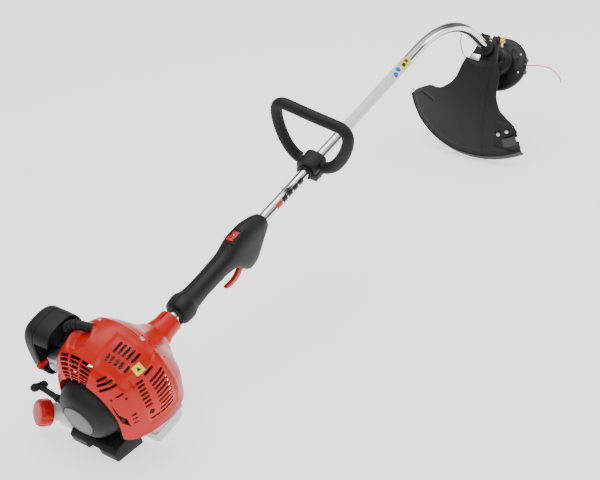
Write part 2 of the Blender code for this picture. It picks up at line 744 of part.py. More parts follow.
def choke_lever():
    """Flat lever with a round red knob at its end."""
    outline = [(6.0, -4.0), (6.0, 4.0), (-10.0, 4.5), (-22.0, 9.5), (-28.0, 9.0), (-29.0, 3.0), (-24.0, 0.0),
               (-10.0, -3.0)]
    turn = Matrix.Rotation(math.radians(90.0), 4, "X")
    matrix = Matrix.Translation(Vector(CHOKE_PIVOT) * MM) @ turn
    plate("choke_lever", "red_plastic", outline, 4.0, matrix)


def filter_outline(inset):
    """Outline of the air cleaner seen from the left, as (x, z) from its centre."""
    width = FILTER_HALF_WIDTH - inset
    height = FILTER_HALF_HEIGHT - inset
    points = []
    for i in range(FILTER_STEPS):
        angle = math.tau * i / FILTER_STEPS
        side = math.copysign(abs(math.cos(angle)) ** FILTER_ROUNDING, math.cos(angle))
        rise = math.copysign(abs(math.sin(angle)) ** FILTER_ROUNDING, math.sin(angle))
        points.append((FILTER_X + width * side, FILTER_Z + height * rise))
    return points


def filter_ring(y, inset):
    return [(x, y, z) for x, z in filter_outline(inset)]


def air_filter_base():
    rows = [filter_ring(y, 4.0) for y in (105.0, 109.0)]
    skin("air_filter_base", "black_plastic", rows, closed=True, caps=True)


def air_filter():
    rows = [filter_ring(y, 10.0) for y in (109.5, 124.0)]
    skin("air_filter", "foam", rows, closed=True, caps=True)


def air_filter_cover():
    """Deep cap over the filter, cut away low at its rear for the controls."""
    outer = [(72.0, 1.0), (100.0, 0.0), (120.0, 0.0), (130.0, 5.0), (134.0, 14.0)]
    inner = [(131.0, 17.0), (127.5, 7.5), (119.0, 3.0), (100.0, 3.0), (72.0, 4.0)]
    rows = [filter_ring(y, inset) for y, inset in outer]
    outer_face = len(rows)
    rows += [filter_ring(134.0, 43.0)]
    rows += [filter_ring(131.0, 42.6)]
    rows += [filter_ring(y, inset) for y, inset in inner]
    bm = bmesh.new()
    rings = [[bm.verts.new(Vector(p) * MM) for p in row] for row in rows]
    count = len(rings[0])
    for i in range(len(rings)):
        if i == outer_face:
            continue
        following = rings[(i + 1) % len(rings)]
        for j in range(count):
            k = (j + 1) % count
            bm.faces.new((rings[i][j], rings[i][k], following[k], following[j]))
    bm.faces.new(rings[outer_face])
    bm.faces.new(rings[outer_face + 1])
    bmesh.ops.recalc_face_normals(bm, faces=bm.faces)
    mesh = bpy.data.meshes.new("air_filter_cover")
    bm.to_mesh(mesh)
    bm.free()
    cover = shade(add_object("air_filter_cover", mesh, "black_plastic"))
    boolean(cover, box_at("control_opening", None, (-1100.0, 60.0, -10.0), (-1050.0, 103.0, 96.0), True))
    boolean(cover, box_at("intake_opening", None, (-1100.0, 60.0, 20.0), (-980.0, 80.0, 85.0), True))


def tank_shape(name, finish, inset, cutter=False):
    """Tank block with an arm running back on the left, all sides moved in by inset."""
    front = -985.0 - inset
    rear = -1056.0 + inset
    left = 100.0 - inset
    right = -86.0 + inset
    top = TANK_TOP - inset
    block = box_at(name, finish, (rear, right, TANK_LOW + inset), (front, left, top), cutter)
    bevel(block, 11.0 - inset, 3)
    arm = box_at(name + "_arm", None, (-1110.0 + inset, 62.0 + inset, ARM_LOW + inset),
                 (-1030.0, left, top), True)
    bevel(arm, 11.0 - inset, 3)
    boolean(block, arm, "UNION")
    return block


def cap_frame(offset):
    axis = Vector(CAP_AXIS).normalized()
    return axes(Vector(CAP_CENTRE) + axis * offset, axis)


def fuel_tank():
    """Blown tank with a slanted filler neck."""
    tank = tank_shape("fuel_tank", "clear_plastic", 0.0)
    boolean(tank, drum("tank_neck", 16.0, 34.0, cap_frame(-20.0), segments=28), "UNION")
    inside = tank_shape("tank_inside", None, TANK_WALL, True)
    boolean(tank, inside)
    boolean(tank, drum("tank_mouth", 12.5, 60.0, cap_frame(-20.0), segments=28))


def fuel_cap():
    """Lobed screw cap over the neck."""
    rows = []
    for radius, height in ((CAP_R - 1.4, 12.0), (CAP_R, 10.0), (CAP_R, -10.0)):
        ring = []
        for i in range(CAP_LOBES * 4):
            angle = math.tau * i / (CAP_LOBES * 4)
            r = radius + CAP_LOBE_HEIGHT * (math.cos(CAP_LOBES * angle) - 1.0)
            ring.append((r * math.cos(angle), r * math.sin(angle), height))
        rows.append(ring)
    cap = skin("fuel_cap", "red_plastic", rows, closed=True, caps=True)
    cap.matrix_basis = cap_frame(0.0)
    boolean(cap, drum("cap_inside", 17.0, 18.0, cap_frame(-3.0), segments=28))


def fuel_cap_seal():
    profile = [(16.0, 4.5), (16.0, 2.5), (11.0, 2.5), (11.0, 4.5)]
    turned("fuel_cap_seal", "black_rubber", profile, cap_frame(0.0), 24, True)


def fuel_line():
    route = [(-1046.0, 69.5, -41.4), (-1046.0, 69.5, -20.0), (-1046.0, 69.5, 5.0), (-1046.0, 69.5, 27.4)]
    rod("fuel_line", "black_rubber", spline(route, 6), 2.2)


def floor_height(x):
    """Height of the floor under a point of the shaft frame."""
    return STAND_REAR[1] - (x - STAND_REAR[0]) * math.tan(PITCH)


def engine_stand():
    """Moulded foot under the starter, open at the rear between its two pads."""
    front = STAND_REAR[0] + STAND_LENGTH
    outline = [(STAND_REAR[0], floor_height(STAND_REAR[0])), (front, floor_height(front)),
               (front, -36.0), (front - 4.0, -30.0), (front - 14.0, -48.0), (-1086.0, -62.5),
               (-1116.0, -62.5), (-1124.0, -70.0)]
    matrix = Matrix.Rotation(math.radians(90.0), 4, "X")
    stand = plate("engine_stand", "black_plastic", outline, 104.0, matrix)
    boolean(stand, drum("stand_saddle", STARTER_R + 1.0, 90.0, along_shaft(-1090.0), segments=48))
    boolean(stand, box_at("stand_notch", None, (-1140.0, -15.0, -120.0), (-1102.0, 15.0, -70.0), True))


# ---------------------------------------------------- cutting head, shield

def bearing_housing():
    profile = [(HOUSING_R, -66.0), (HOUSING_R, -112.0), (17.0, -127.0), (8.0, -127.0), (8.0, -108.5),
               (13.3, -108.5), (13.3, -92.0), (TUBE_R + GAP, -90.0), (TUBE_R + GAP, -66.0)]
    turned("bearing_housing", "black_plastic", profile, head_frame(0.0), 24, True)


def head_arbor():
    profile = [(0.0, -86.0), (5.0, -86.0), (ARBOR_R, -92.0), (ARBOR_R, -129.0), (12.0, -129.0),
               (12.0, -131.0), (0.0, -131.0)]
    turned("head_arbor", "steel", profile, head_frame(0.0), 20)


def head_hub():
    profile = [(0.0, -131.5), (22.0, -131.5), (24.0, -150.0), (37.0, -158.0), (38.0, -176.0), (0.0, -176.0)]
    turned("head_hub", "black_plastic", profile, head_frame(0.0), 32)


def trimmer_head():
    """Flat line head with a notch where each line leaves."""
    profile = [(0.0, -176.5), (60.0, -176.5), (67.0, -180.0), (HEAD_R, -184.0), (HEAD_R, -192.0),
               (62.0, -198.0), (30.0, -201.0), (0.0, -201.0)]
    head = turned("trimmer_head", "black_plastic", profile, head_frame(0.0), 30)
    for i, side in enumerate((-1.0, 1.0)):
        y = side * math.cos(LINE_EXIT) * HEAD_R
        back = side * math.sin(LINE_EXIT) * HEAD_R
        boolean(head, drum("line_notch_%d" % i, 5.0, 40.0, head_frame(LINE_K, y, back), segments=16))


def line_at(points):
    return [head_point(y, back, LINE_K) for y, back in points]


def cutting_lines():
    right = [(-63.5, -12.2), (-93.0, -18.0), (-121.0, -19.0), (-143.0, -11.0), (-158.0, 0.0),
             (-166.0, 11.0)]
    left = [(63.5, 12.2), (83.0, 7.0), (101.0, -2.0), (114.0, -16.0), (123.0, -30.0),
            (129.0, -45.0), (130.0, -60.0)]
    rod("line_right", "line_nylon", spline(line_at(right), 18), LINE_R)
    rod("line_left", "line_nylon", spline(line_at(left), 18), LINE_R)


SHIELD_EDGES = (
    # right edge angle and radius, left edge angle and radius, from neck to rim
    (-56.0, 50.0, 52.0, 50.0),
    (-31.5, 101.0, 37.0, 96.0),
    (-27.5, 140.0, 41.0, 138.0),
    (-31.0, 165.0, 47.0, 158.0),
    (-34.5, 186.0, 53.5, 175.0),
    (-34.5, 210.0, 58.0, 212.0),
    (-33.0, SHIELD_RIM_R, 59.0, SHIELD_RIM_R),
)


def shield_height(radius):
    """Distance along the head axis of the shield's outer face at a radius."""
    fall = max(radius - SHIELD_NECK_R, 0.0) / (SHIELD_RIM_R - SHIELD_NECK_R)
    crown = SHIELD_CROWN * math.sin(math.pi * fall)
    return SHIELD_NECK_K + (HEAD_K - SHIELD_NECK_K) * fall - crown


def shield_point(angle, radius, lift=0.0):
    """Point on the shield by its angle from the back towards the left."""
    turn = math.radians(angle)
    return head_point(radius * math.sin(turn), radius * math.cos(turn), shield_height(radius) - lift)


def shield():
    """Moulded debris shield, a fan with a straight skirt round its rim."""
    edges = spline([(a, r, 0.0) for a, r, _, _ in SHIELD_EDGES], SHIELD_ROWS)
    others = spline([(a, r, 0.0) for _, _, a, r in SHIELD_EDGES], SHIELD_ROWS)
    rows = []
    for i, (right, left) in enumerate(zip(edges, others)):
        row = []
        neck = (1.0 - i / SHIELD_ROWS) ** 3
        for j in range(SHIELD_COLUMNS + 1):
            t = j / SHIELD_COLUMNS
            angle = right.x + (left.x - right.x) * t
            radius = right.y + (left.y - right.y) * t
            radius -= SHIELD_NECK_DIP * neck * (1.0 - (2.0 * t - 1.0) ** 2)
            row.append(shield_point(angle, radius))
        rows.append(row)
    rows.append([point + HEAD_AXIS * SHIELD_SKIRT for point in rows[-1]])
    solidify(skin("shield", "black_plastic", rows), SHIELD_WALL)


def shield_bracket():
    """Split clamp round the housing that carries the shield."""
    outline = [(-36.0, -24.0), (-36.0, 24.0), (-14.0, 26.0), (6.0, 30.0), (36.0, 38.0), (40.0, 30.0),
               (40.0, -30.0), (36.0, -38.0), (6.0, -30.0), (-14.0, -26.0)]
    matrix = axes(head_point(0.0, 0.0, CLAMP_K), -HEAD_AXIS, HEAD_BACK)
    clamp = plate("shield_bracket", "black_plastic", outline, 11.0, matrix)
    boolean(clamp, drum("bracket_bore", HOUSING_R + 0.2, 40.0, head_frame(CLAMP_K), segments=36))
    boolean(clamp, box("bracket_slit", None, (30.0, 11.0, 30.0), head_frame(CLAMP_K, 0.0, -34.0), True))
    bore = axes(head_point(0.0, CLAMP_BOLT_BACK, CLAMP_K), LEFT)
    boolean(clamp, drum("bracket_hole", 3.2, 90.0, bore, segments=16))


def shield_plate():
    plate_centre = head_point(17.0, 28.0, SHIELD_NECK_K - 2.6)
    bevel(box("shield_plate", "steel", (15.0, 26.0, 2.4), axes(plate_centre, -HEAD_AXIS, HEAD_BACK)), 0.6)


def clamp_bolt():
    profile = [(0.0, 30.0), (5.0, 30.0), (5.0, 26.5), (2.9, 26.5), (2.9, -37.0), (0.0, -37.0)]
    frame = axes(head_point(0.0, CLAMP_BOLT_BACK, CLAMP_K), LEFT)
    turned("clamp_bolt", "gold_zinc", profile, frame, 16)


def wing_nut():
    frame = axes(head_point(0.0, CLAMP_BOLT_BACK, CLAMP_K), LEFT)
    profile = [(6.0, -26.5), (6.0, -34.0), (3.2, -34.0), (3.2, -26.5)]
    nut = turned("wing_nut", "gold_zinc", profile, frame, 20, True)
    for i, side in enumerate((-1.0, 1.0)):
        place = frame @ Matrix.Translation(Vector((side * 10.0, 0.0, -32.5)) * MM)
        boolean(nut, box("nut_wing_%d" % i, None, (11.0, 2.6, 9.0), place, True), "UNION")


def knife_patch(name, finish, angles, radii, lift, wall):
    """Thin sheet that follows the shield's outer face."""
    rows = []
    for i in range(4):
        radius = radii[0] + (radii[1] - radii[0]) * i / 3
        row = []
        for j in range(7):
            angle = angles[0] + (angles[1] - angles[0]) * j / 6
            row.append(shield_point(angle, radius, lift))
        rows.append(row)
    solidify(skin(name, finish, rows), wall)


def cutoff_knife():
    knife_patch("cutoff_knife", "steel", (-33.5, -24.0), (207.0, 225.0), 2.4, 1.6)


def knife_screws():
    for number, (y, back) in enumerate(((-74.0, 181.0), (-93.0, 170.0)), 1):
        radius = math.hypot(y, back)
        centre = head_point(y, back, shield_height(radius))
        slope = head_point(y * 1.02, back * 1.02, shield_height(radius * 1.02)) - centre
        across = HEAD_AXIS.cross(head_point(y, back, 0.0) - head_point(0.0, 0.0, 0.0))
        normal = slope.cross(across).normalized()
        if normal.dot(HEAD_AXIS) > 0.0:
            normal = -normal
        profile = [(0.0, 3.8), (2.5, 3.6), (4.4, 2.2), (4.4, 0.6), (0.0, 0.6)]
        turned("knife_screw_%d" % number, "steel", profile, axes(centre, normal), 16)


def pitch_frame():
    """Stand the whole trimmer on its engine stand and shield rim."""
    half = STAND_LENGTH * 0.5
    origin_x = STAND_REAR[0] + half
    origin = Vector((origin_x, 0.0, floor_height(origin_x))) * MM
    turn = Matrix.Rotation(-PITCH, 4, "Y")
    FRAME.matrix_basis = turn @ Matrix.Translation(-origin)


shaft_tube()
drive_cable()
grip_half("grip_left", 1.0)
grip_half("grip_right", -1.0)
trigger()
stop_switch()
throttle_cable()
handle_liner()
loop_handle()
handle_cradle()
handle_clamp()
handle_bolts()
engine_cover()
rear_grille()
clutch_case()
clutch_drum()
clutch_shoes()
flywheel()
crankshaft()
crankcase()
connecting_rod()
piston()
cylinder()
spark_plug()
spark_plug_boot()
ignition_coil()
muffler()
starter_cover()
starter_badge()
starter_pulley()
starter_rope()
starter_grip()
intake_block()
carburettor()
carb_throttle_lever()
purge_bulb()
choke_lever()
air_filter_base()
air_filter()
air_filter_cover()
fuel_tank()
fuel_cap()
fuel_cap_seal()
fuel_line()
engine_stand()
bearing_housing()
head_arbor()
head_hub()
trimmer_head()
cutting_lines()
shield()
shield_bracket()
shield_plate()
clamp_bolt()
wing_nut()
cutoff_knife()
knife_screws()
pitch_frame()
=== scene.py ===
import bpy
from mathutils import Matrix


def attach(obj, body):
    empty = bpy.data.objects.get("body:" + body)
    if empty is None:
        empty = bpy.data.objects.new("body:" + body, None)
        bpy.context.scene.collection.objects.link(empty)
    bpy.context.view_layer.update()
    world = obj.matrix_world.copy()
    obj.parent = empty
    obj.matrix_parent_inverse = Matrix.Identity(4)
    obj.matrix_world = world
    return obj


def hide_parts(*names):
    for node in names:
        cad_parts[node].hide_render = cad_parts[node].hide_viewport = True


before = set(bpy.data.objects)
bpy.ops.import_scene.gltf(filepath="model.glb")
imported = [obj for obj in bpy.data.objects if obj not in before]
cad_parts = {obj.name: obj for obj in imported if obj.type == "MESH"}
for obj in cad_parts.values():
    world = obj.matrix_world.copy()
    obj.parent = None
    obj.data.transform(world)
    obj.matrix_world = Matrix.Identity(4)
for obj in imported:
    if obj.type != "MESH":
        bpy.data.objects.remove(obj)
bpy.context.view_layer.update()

import math

import bmesh
import bpy
from mathutils import Matrix, Vector

# ------------------------------------------------------------ studio floor, lights and camera
# A plain pale floor under the trimmer and three large soft lights, with a dim
# surround that the bright tube can mirror as dark streaks.
# Everything below is laid out in the shaft's own frame, in millimetres: X runs
# forward along the straight tube, Y is the operator's left, Z is up, and the
# bend starts at the origin.  SHAFT turns that into the row frame in metres.
REST_DROP, REST_RUN = 350.8, 1306.1
FOOT_X, FOOT_Z = -1122.0, -88.0
STAND_PITCH = math.atan2(REST_DROP, REST_RUN)
STAND_ORIGIN = Vector((-1092.0, 0.0, FOOT_Z - 30.0 * math.tan(STAND_PITCH)))
SHAFT = Matrix.Scale(0.001, 4) @ Matrix.Rotation(-STAND_PITCH, 4, "Y") @ Matrix.Translation(-STAND_ORIGIN)
TURN = Matrix.Rotation(-STAND_PITCH, 3, "Y")
X_AXIS, Y_AXIS, Z_AXIS = Vector((1, 0, 0)), Vector((0, 1, 0)), Vector((0, 0, 1))


def at(point):
    """Shaft-frame millimetres to row-frame metres."""
    return SHAFT @ Vector(point)


def new_object(name, data):
    obj = bpy.data.objects.new(name, data)
    bpy.context.scene.collection.objects.link(obj)
    return obj


def floor_material():
    made = bpy.data.materials.new("studio_floor")
    made.use_nodes = True
    shader = made.node_tree.nodes["Principled BSDF"]
    shader.inputs["Base Color"].default_value = (0.86, 0.86, 0.86, 1.0)
    shader.inputs["Roughness"].default_value = 0.9
    shader.inputs["Specular IOR Level"].default_value = 0.1
    shader.inputs["Emission Color"].default_value = (1.0, 1.0, 1.0, 1.0)
    shader.inputs["Emission Strength"].default_value = 1.1
    return made


floor_mesh = bpy.data.meshes.new("studio_floor")
floor_mesh.from_pydata([(-9, -9, 0), (9, -9, 0), (9, 9, 0), (-9, 9, 0)], [], [(0, 1, 2, 3)])
floor_mesh.materials.append(floor_material())
floor = new_object("studio_floor", floor_mesh)

for name, spot, aim, width, depth, watts in (
        ("light_top", (0.7, 0.5, 2.6), (0.7, 0.0, 0.1), 3.0, 1.6, 46.0),
        ("light_near", (-1.6, -1.9, 2.0), (0.3, 0.0, 0.1), 1.6, 1.2, 22.0),
        ("light_far", (2.8, -1.2, 1.3), (0.9, 0.0, 0.1), 0.7, 1.6, 12.0)):
    lamp = bpy.data.lights.new(name, "AREA")
    lamp.shape = "RECTANGLE"
    lamp.size, lamp.size_y, lamp.energy = width, depth, watts
    holder = new_object(name, lamp)
    holder.location = spot
    holder.rotation_euler = (Vector(aim) - Vector(spot)).to_track_quat("-Z", "Y").to_euler()

world = bpy.data.worlds.new("studio")
bpy.context.scene.world = world
world.use_nodes = True
sky = world.node_tree
sky_coord = sky.nodes.new("ShaderNodeTexCoord")
sky_split = sky.nodes.new("ShaderNodeSeparateXYZ")
sky_ramp = sky.nodes.new("ShaderNodeValToRGB")
sky.links.new(sky_coord.outputs["Generated"], sky_split.inputs[0])
sky.links.new(sky_split.outputs["Z"], sky_ramp.inputs["Fac"])
sky.links.new(sky_ramp.outputs["Color"], sky.nodes["Background"].inputs["Color"])
sky.nodes["Background"].inputs["Strength"].default_value = 1.0
sky_ramp.color_ramp.elements[0].position = 0.0
sky_ramp.color_ramp.elements[0].color = (0.25, 0.25, 0.26, 1.0)
sky_ramp.color_ramp.elements[1].position = 0.9
sky_ramp.color_ramp.elements[1].color = (1.15, 1.15, 1.15, 1.0)
band = sky_ramp.color_ramp.elements.new(0.35)
band.color = (0.12, 0.12, 0.13, 1.0)

VIEW = Vector((0.55359, 0.50027, -0.66579))
VIEW_RIGHT = Vector((0.54654, -0.82146, -0.16281))
VIEW_UP = Vector((0.62836, 0.27375, 0.72816))
lens = bpy.data.cameras.new("view")
lens.sensor_width = 36.0
lens.lens = 70.09
lens.clip_start = 0.05
EYE = (-1800.75, -1170.31, 1426.32)
camera = new_object("view", lens)
turned_axes = Matrix((TURN @ VIEW_RIGHT, TURN @ VIEW_UP, TURN @ -VIEW)).transposed()
camera.matrix_world = Matrix.Translation(at(EYE)) @ turned_axes.to_4x4()
bpy.context.scene.camera = camera

# ------------------------------------------------------------ cutting line, the two free ends
# Extruded nylon monofilament 2.5 mm thick, wound inside the head and led out
# through two notches.  It keeps the curl of the spool, so both ends droop in a
# flat curve and stay clear of the floor and of the shield.
BEND_R = 317.7
BEND_ANGLE = math.radians(53.97)
BEND_END = Vector((BEND_R * math.sin(BEND_ANGLE), 0.0, -BEND_R * (1.0 - math.cos(BEND_ANGLE))))
HEAD_AXIS = Vector((math.cos(BEND_ANGLE), 0.0, -math.sin(BEND_ANGLE)))
HEAD_BACK = Vector((-math.sin(BEND_ANGLE), 0.0, -math.cos(BEND_ANGLE)))


def head(left, back, along):
    """Shaft-frame point from its distances left, back and along the head axis past the bend."""
    return BEND_END + Y_AXIS * left + HEAD_BACK * back + HEAD_AXIS * along


def spline(keys, steps):
    """Smooth run of steps + 1 points through the keys."""
    keys = [Vector(k) for k in keys]
    run = [keys[0] * 2 - keys[1]] + keys + [keys[-1] * 2 - keys[-2]]
    out = []
    for i in range(steps + 1):
        t = i / steps * (len(keys) - 1)
        k = min(int(t), len(keys) - 2)
        a, b, c, d = run[k:k + 4]
        t -= k
        out.append(0.5 * (2 * b + (c - a) * t + (2 * a - 5 * b + 4 * c - d) * t * t
                          + (3 * b - a - 3 * c + d) * t ** 3))
    return out


def speckle_group():
    """Shared effect: faint uneven colour and a fine bump, as on moulded plastic and rubber."""
    group = bpy.data.node_groups.new("moulded_surface", "ShaderNodeTree")
    io = group.interface
    io.new_socket("Colour", in_out="INPUT", socket_type="NodeSocketColor")
    for label, value in (("Grain Scale", 900.0), ("Grain Depth", 0.1), ("Unevenness", 0.1), ("Dust", 0.1)):
        io.new_socket(label, in_out="INPUT", socket_type="NodeSocketFloat").default_value = value
    io.new_socket("Colour", in_out="OUTPUT", socket_type="NodeSocketColor")
    io.new_socket("Wear", in_out="OUTPUT", socket_type="NodeSocketFloat")
    io.new_socket("Normal", in_out="OUTPUT", socket_type="NodeSocketVector")
    nodes, link = group.nodes, group.links.new
    start, end = nodes.new("NodeGroupInput"), nodes.new("NodeGroupOutput")
    coord = nodes.new("ShaderNodeTexCoord")
    grain = nodes.new("ShaderNodeTexNoise")
    grain.inputs["Detail"].default_value = 3.0
    link(coord.outputs["Object"], grain.inputs["Vector"])
    link(start.outputs["Grain Scale"], grain.inputs["Scale"])
    bump = nodes.new("ShaderNodeBump")
    bump.inputs["Distance"].default_value = 0.0006
    link(start.outputs["Grain Depth"], bump.inputs["Strength"])
    link(grain.outputs["Fac"], bump.inputs["Height"])
    link(bump.outputs["Normal"], end.inputs["Normal"])
    cloud = nodes.new("ShaderNodeTexNoise")
    cloud.inputs["Scale"].default_value = 24.0
    cloud.inputs["Detail"].default_value = 5.0
    link(coord.outputs["Object"], cloud.inputs["Vector"])
    tint = nodes.new("ShaderNodeMath")
    tint.operation = "MULTIPLY_ADD"
    link(cloud.outputs["Fac"], tint.inputs[0])
    link(start.outputs["Unevenness"], tint.inputs[1])
    tint.inputs[2].default_value = 0.95
    scaled = nodes.new("ShaderNodeVectorMath")
    scaled.operation = "SCALE"
    link(start.outputs["Colour"], scaled.inputs[0])
    link(tint.outputs[0], scaled.inputs["Scale"])
    up = nodes.new("ShaderNodeNewGeometry")
    split = nodes.new("ShaderNodeSeparateXYZ")
    link(up.outputs["Normal"], split.inputs[0])
    settle = nodes.new("ShaderNodeMath")
    settle.operation = "MULTIPLY"
    settle.use_clamp = True
    link(split.outputs["Z"], settle.inputs[0])
    link(start.outputs["Dust"], settle.inputs[1])
    patch = nodes.new("ShaderNodeMath")
    patch.operation = "MULTIPLY"
    link(settle.outputs[0], patch.inputs[0])
    link(cloud.outputs["Fac"], patch.inputs[1])
    mix = nodes.new("ShaderNodeMix")
    mix.data_type = "RGBA"
    link(patch.outputs[0], mix.inputs["Factor"])
    link(scaled.outputs[0], mix.inputs["A"])
    mix.inputs["B"].default_value = (0.55, 0.54, 0.52, 1.0)
    link(mix.outputs["Result"], end.inputs["Colour"])
    link(cloud.outputs["Fac"], end.inputs["Wear"])
    return group


MOULDED = speckle_group()


def material(name, colour, rough, metal=0.0, grain=0.1, grain_scale=900.0, uneven=0.1, dust=0.05,
             coat=0.0, soften=0.0, through=0.0):
    """Principled finish over the shared moulded surface; soften rounds edges, in metres."""
    made = bpy.data.materials.new(name)
    made.use_nodes = True
    nodes, link = made.node_tree.nodes, made.node_tree.links.new
    shader = nodes["Principled BSDF"]
    surface = nodes.new("ShaderNodeGroup")
    surface.node_tree = MOULDED
    surface.inputs["Colour"].default_value = (*colour, 1.0)
    surface.inputs["Grain Scale"].default_value = grain_scale
    surface.inputs["Grain Depth"].default_value = grain
    surface.inputs["Unevenness"].default_value = uneven
    surface.inputs["Dust"].default_value = dust
    link(surface.outputs["Colour"], shader.inputs["Base Color"])
    spread = nodes.new("ShaderNodeMapRange")
    spread.inputs["To Min"].default_value = rough * 0.8
    spread.inputs["To Max"].default_value = min(rough * 1.25, 1.0)
    link(surface.outputs["Wear"], spread.inputs["Value"])
    link(spread.outputs["Result"], shader.inputs["Roughness"])
    link(surface.outputs["Normal"], shader.inputs["Normal"])
    shader.inputs["Metallic"].default_value = metal
    shader.inputs["Coat Weight"].default_value = coat
    shader.inputs["Coat Roughness"].default_value = 0.08
    shader.inputs["Transmission Weight"].default_value = through
    if soften:
        rounded = nodes.new("ShaderNodeBevel")
        rounded.samples = 4
        rounded.inputs["Radius"].default_value = soften
        link(surface.outputs["Normal"], rounded.inputs["Normal"])
        link(rounded.outputs["Normal"], shader.inputs["Normal"])
    return made


LINE_R = 0.00125
LINE_HEIGHT = 188.0


def cutting_line(side, keys):
    """One free end, level with the head's notches; keys are (left, back) places."""
    points = [at(p) for p in spline([head(left, back, LINE_HEIGHT) for left, back in keys], 18)]
    curve = bpy.data.curves.new("line_" + side, "CURVE")
    curve.dimensions = "3D"
    curve.bevel_depth = LINE_R
    curve.bevel_resolution = 4
    curve.use_fill_caps = True
    run = curve.splines.new("POLY")
    run.points.add(len(points) - 1)
    for target, point in zip(run.points, points):
        target.co = (*point, 1.0)
    curve.materials.append(NYLON)
    line = new_object("cord_" + side, curve)
    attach(line, "cutting_head")
    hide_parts("line_" + side)


NYLON = material("line_nylon", (0.95, 0.10, 0.035), 0.35, grain=0.05, grain_scale=2500.0)
cutting_line("right", ((-63.5, -12.2), (-93, -18), (-121, -19), (-143, -11), (-158, 0), (-166, 11)))
cutting_line("left", ((63.5, 12.2), (83, 7), (101, -2), (114, -16), (123, -30), (129, -45), (130, -60)))

# ------------------------------------------------------------ shaft tube and its labels
# Welded steel tube 22 mm across, bent through 54 degrees and bright chromed.
# The labels are printed film wrapped on by hand: a pale one by the bend with
# two blue discs and a yellow band, and a dark and red stripe by the grip.
TUBE_R = 11.1


def sweep_group():
    """Geometry nodes: a round bar of one radius along the object's own line of edges."""
    group = bpy.data.node_groups.new("round_bar", "GeometryNodeTree")
    io = group.interface
    io.new_socket("Geometry", in_out="INPUT", socket_type="NodeSocketGeometry")
    io.new_socket("Radius", in_out="INPUT", socket_type="NodeSocketFloat").default_value = 0.01
    io.new_socket("Sides", in_out="INPUT", socket_type="NodeSocketInt").default_value = 32
    io.new_socket("Material", in_out="INPUT", socket_type="NodeSocketMaterial")
    io.new_socket("Geometry", in_out="OUTPUT", socket_type="NodeSocketGeometry")
    nodes, link = group.nodes, group.links.new
    start, end = nodes.new("NodeGroupInput"), nodes.new("NodeGroupOutput")
    line = nodes.new("GeometryNodeMeshToCurve")
    ring = nodes.new("GeometryNodeCurvePrimitiveCircle")
    bar = nodes.new("GeometryNodeCurveToMesh")
    bar.inputs["Fill Caps"].default_value = True
    smooth = nodes.new("GeometryNodeSetShadeSmooth")
    real = nodes.new("GeometryNodeRealizeInstances")
    paint = nodes.new("GeometryNodeSetMaterial")
    link(start.outputs["Geometry"], line.inputs["Mesh"])
    link(start.outputs["Radius"], ring.inputs["Radius"])
    link(start.outputs["Sides"], ring.inputs["Resolution"])
    link(line.outputs["Curve"], bar.inputs["Curve"])
    link(ring.outputs["Curve"], bar.inputs["Profile Curve"])
    link(bar.outputs["Mesh"], smooth.inputs["Geometry"])
    link(smooth.outputs["Geometry"], real.inputs["Geometry"])
    link(real.outputs["Geometry"], paint.inputs["Geometry"])
    link(start.outputs["Material"], paint.inputs["Material"])
    link(paint.outputs["Geometry"], end.inputs["Geometry"])
    return group


ROUND_BAR = sweep_group()


def baked(obj):
    """Swaps the object's mesh for its evaluated one and drops the modifiers."""
    obj.update_tag()
    bpy.context.view_layer.update()
    made = bpy.data.meshes.new_from_object(obj.evaluated_get(bpy.context.evaluated_depsgraph_get()))
    obj.modifiers.clear()
    obj.data = made
    return obj


def grow(obj, group, **values):
    """Runs a geometry node group with its inputs named, and keeps the result."""
    modifier = obj.modifiers.new("grow", "NODES")
    modifier.node_group = group
    sockets = [s for s in group.interface.items_tree if s.item_type == "SOCKET" and s.in_out == "INPUT"]
    for socket in sockets:
        if socket.name in values:
            modifier[socket.identifier] = values[socket.name]
    return baked(obj)


def facing_out(mesh, crease=35.0):
    """Turns the faces outward, shades them smooth and keeps edges sharper than the crease."""
    bm = bmesh.new()
    bm.from_mesh(mesh)
    bmesh.ops.recalc_face_normals(bm, faces=bm.faces)
    bm.to_mesh(mesh)
    bm.free()
    mesh.shade_smooth()
    mesh.set_sharp_from_angle(angle=math.radians(crease))


def bar(name, points, radius, sides, finish, crease=35.0):
    mesh = bpy.data.meshes.new(name)
    mesh.from_pydata([at(p) for p in points], [(i, i + 1) for i in range(len(points) - 1)], [])
    obj = grow(new_object(name, mesh), ROUND_BAR, Radius=radius * 0.001, Sides=sides, Material=finish)
    facing_out(obj.data, crease)
    return obj


def fit(obj, body, slot, *nodes):
    """The piece moves with its body and stands for CAD nodes, which are hidden; the slot argument is not used.
    """
    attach(obj, body)
    if nodes:
        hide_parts(*nodes)
    return obj


def grid_piece(name, rows, finish, closed=False, caps=False, holes=(), crease=35.0):
    """Surface through rows of shaft-frame points; holes are (row, column) cells left open."""
    count = len(rows[0])
    points = [at(p) for row in rows for p in row]
    faces = []
    for i in range(len(rows) - 1):
        for j in range(count if closed else count - 1):
            k = (j + 1) % count
            if (i, j) not in holes:
                faces.append((i * count + j, i * count + k, (i + 1) * count + k, (i + 1) * count + j))
    if caps:
        faces.append(tuple(range(count))[::-1])
        faces.append(tuple(range(len(points) - count, len(points))))
    mesh = bpy.data.meshes.new(name)
    mesh.from_pydata(points, [], faces)
    mesh.materials.append(finish)
    facing_out(mesh, crease)
    return new_object(name, mesh)


def thicken(obj, wall, offset=-1.0):
    shell = obj.modifiers.new("wall", "SOLIDIFY")
    shell.thickness = wall * 0.001
    shell.offset = offset
    shell.use_even_offset = True
    baked(obj)
    facing_out(obj.data)
    return obj


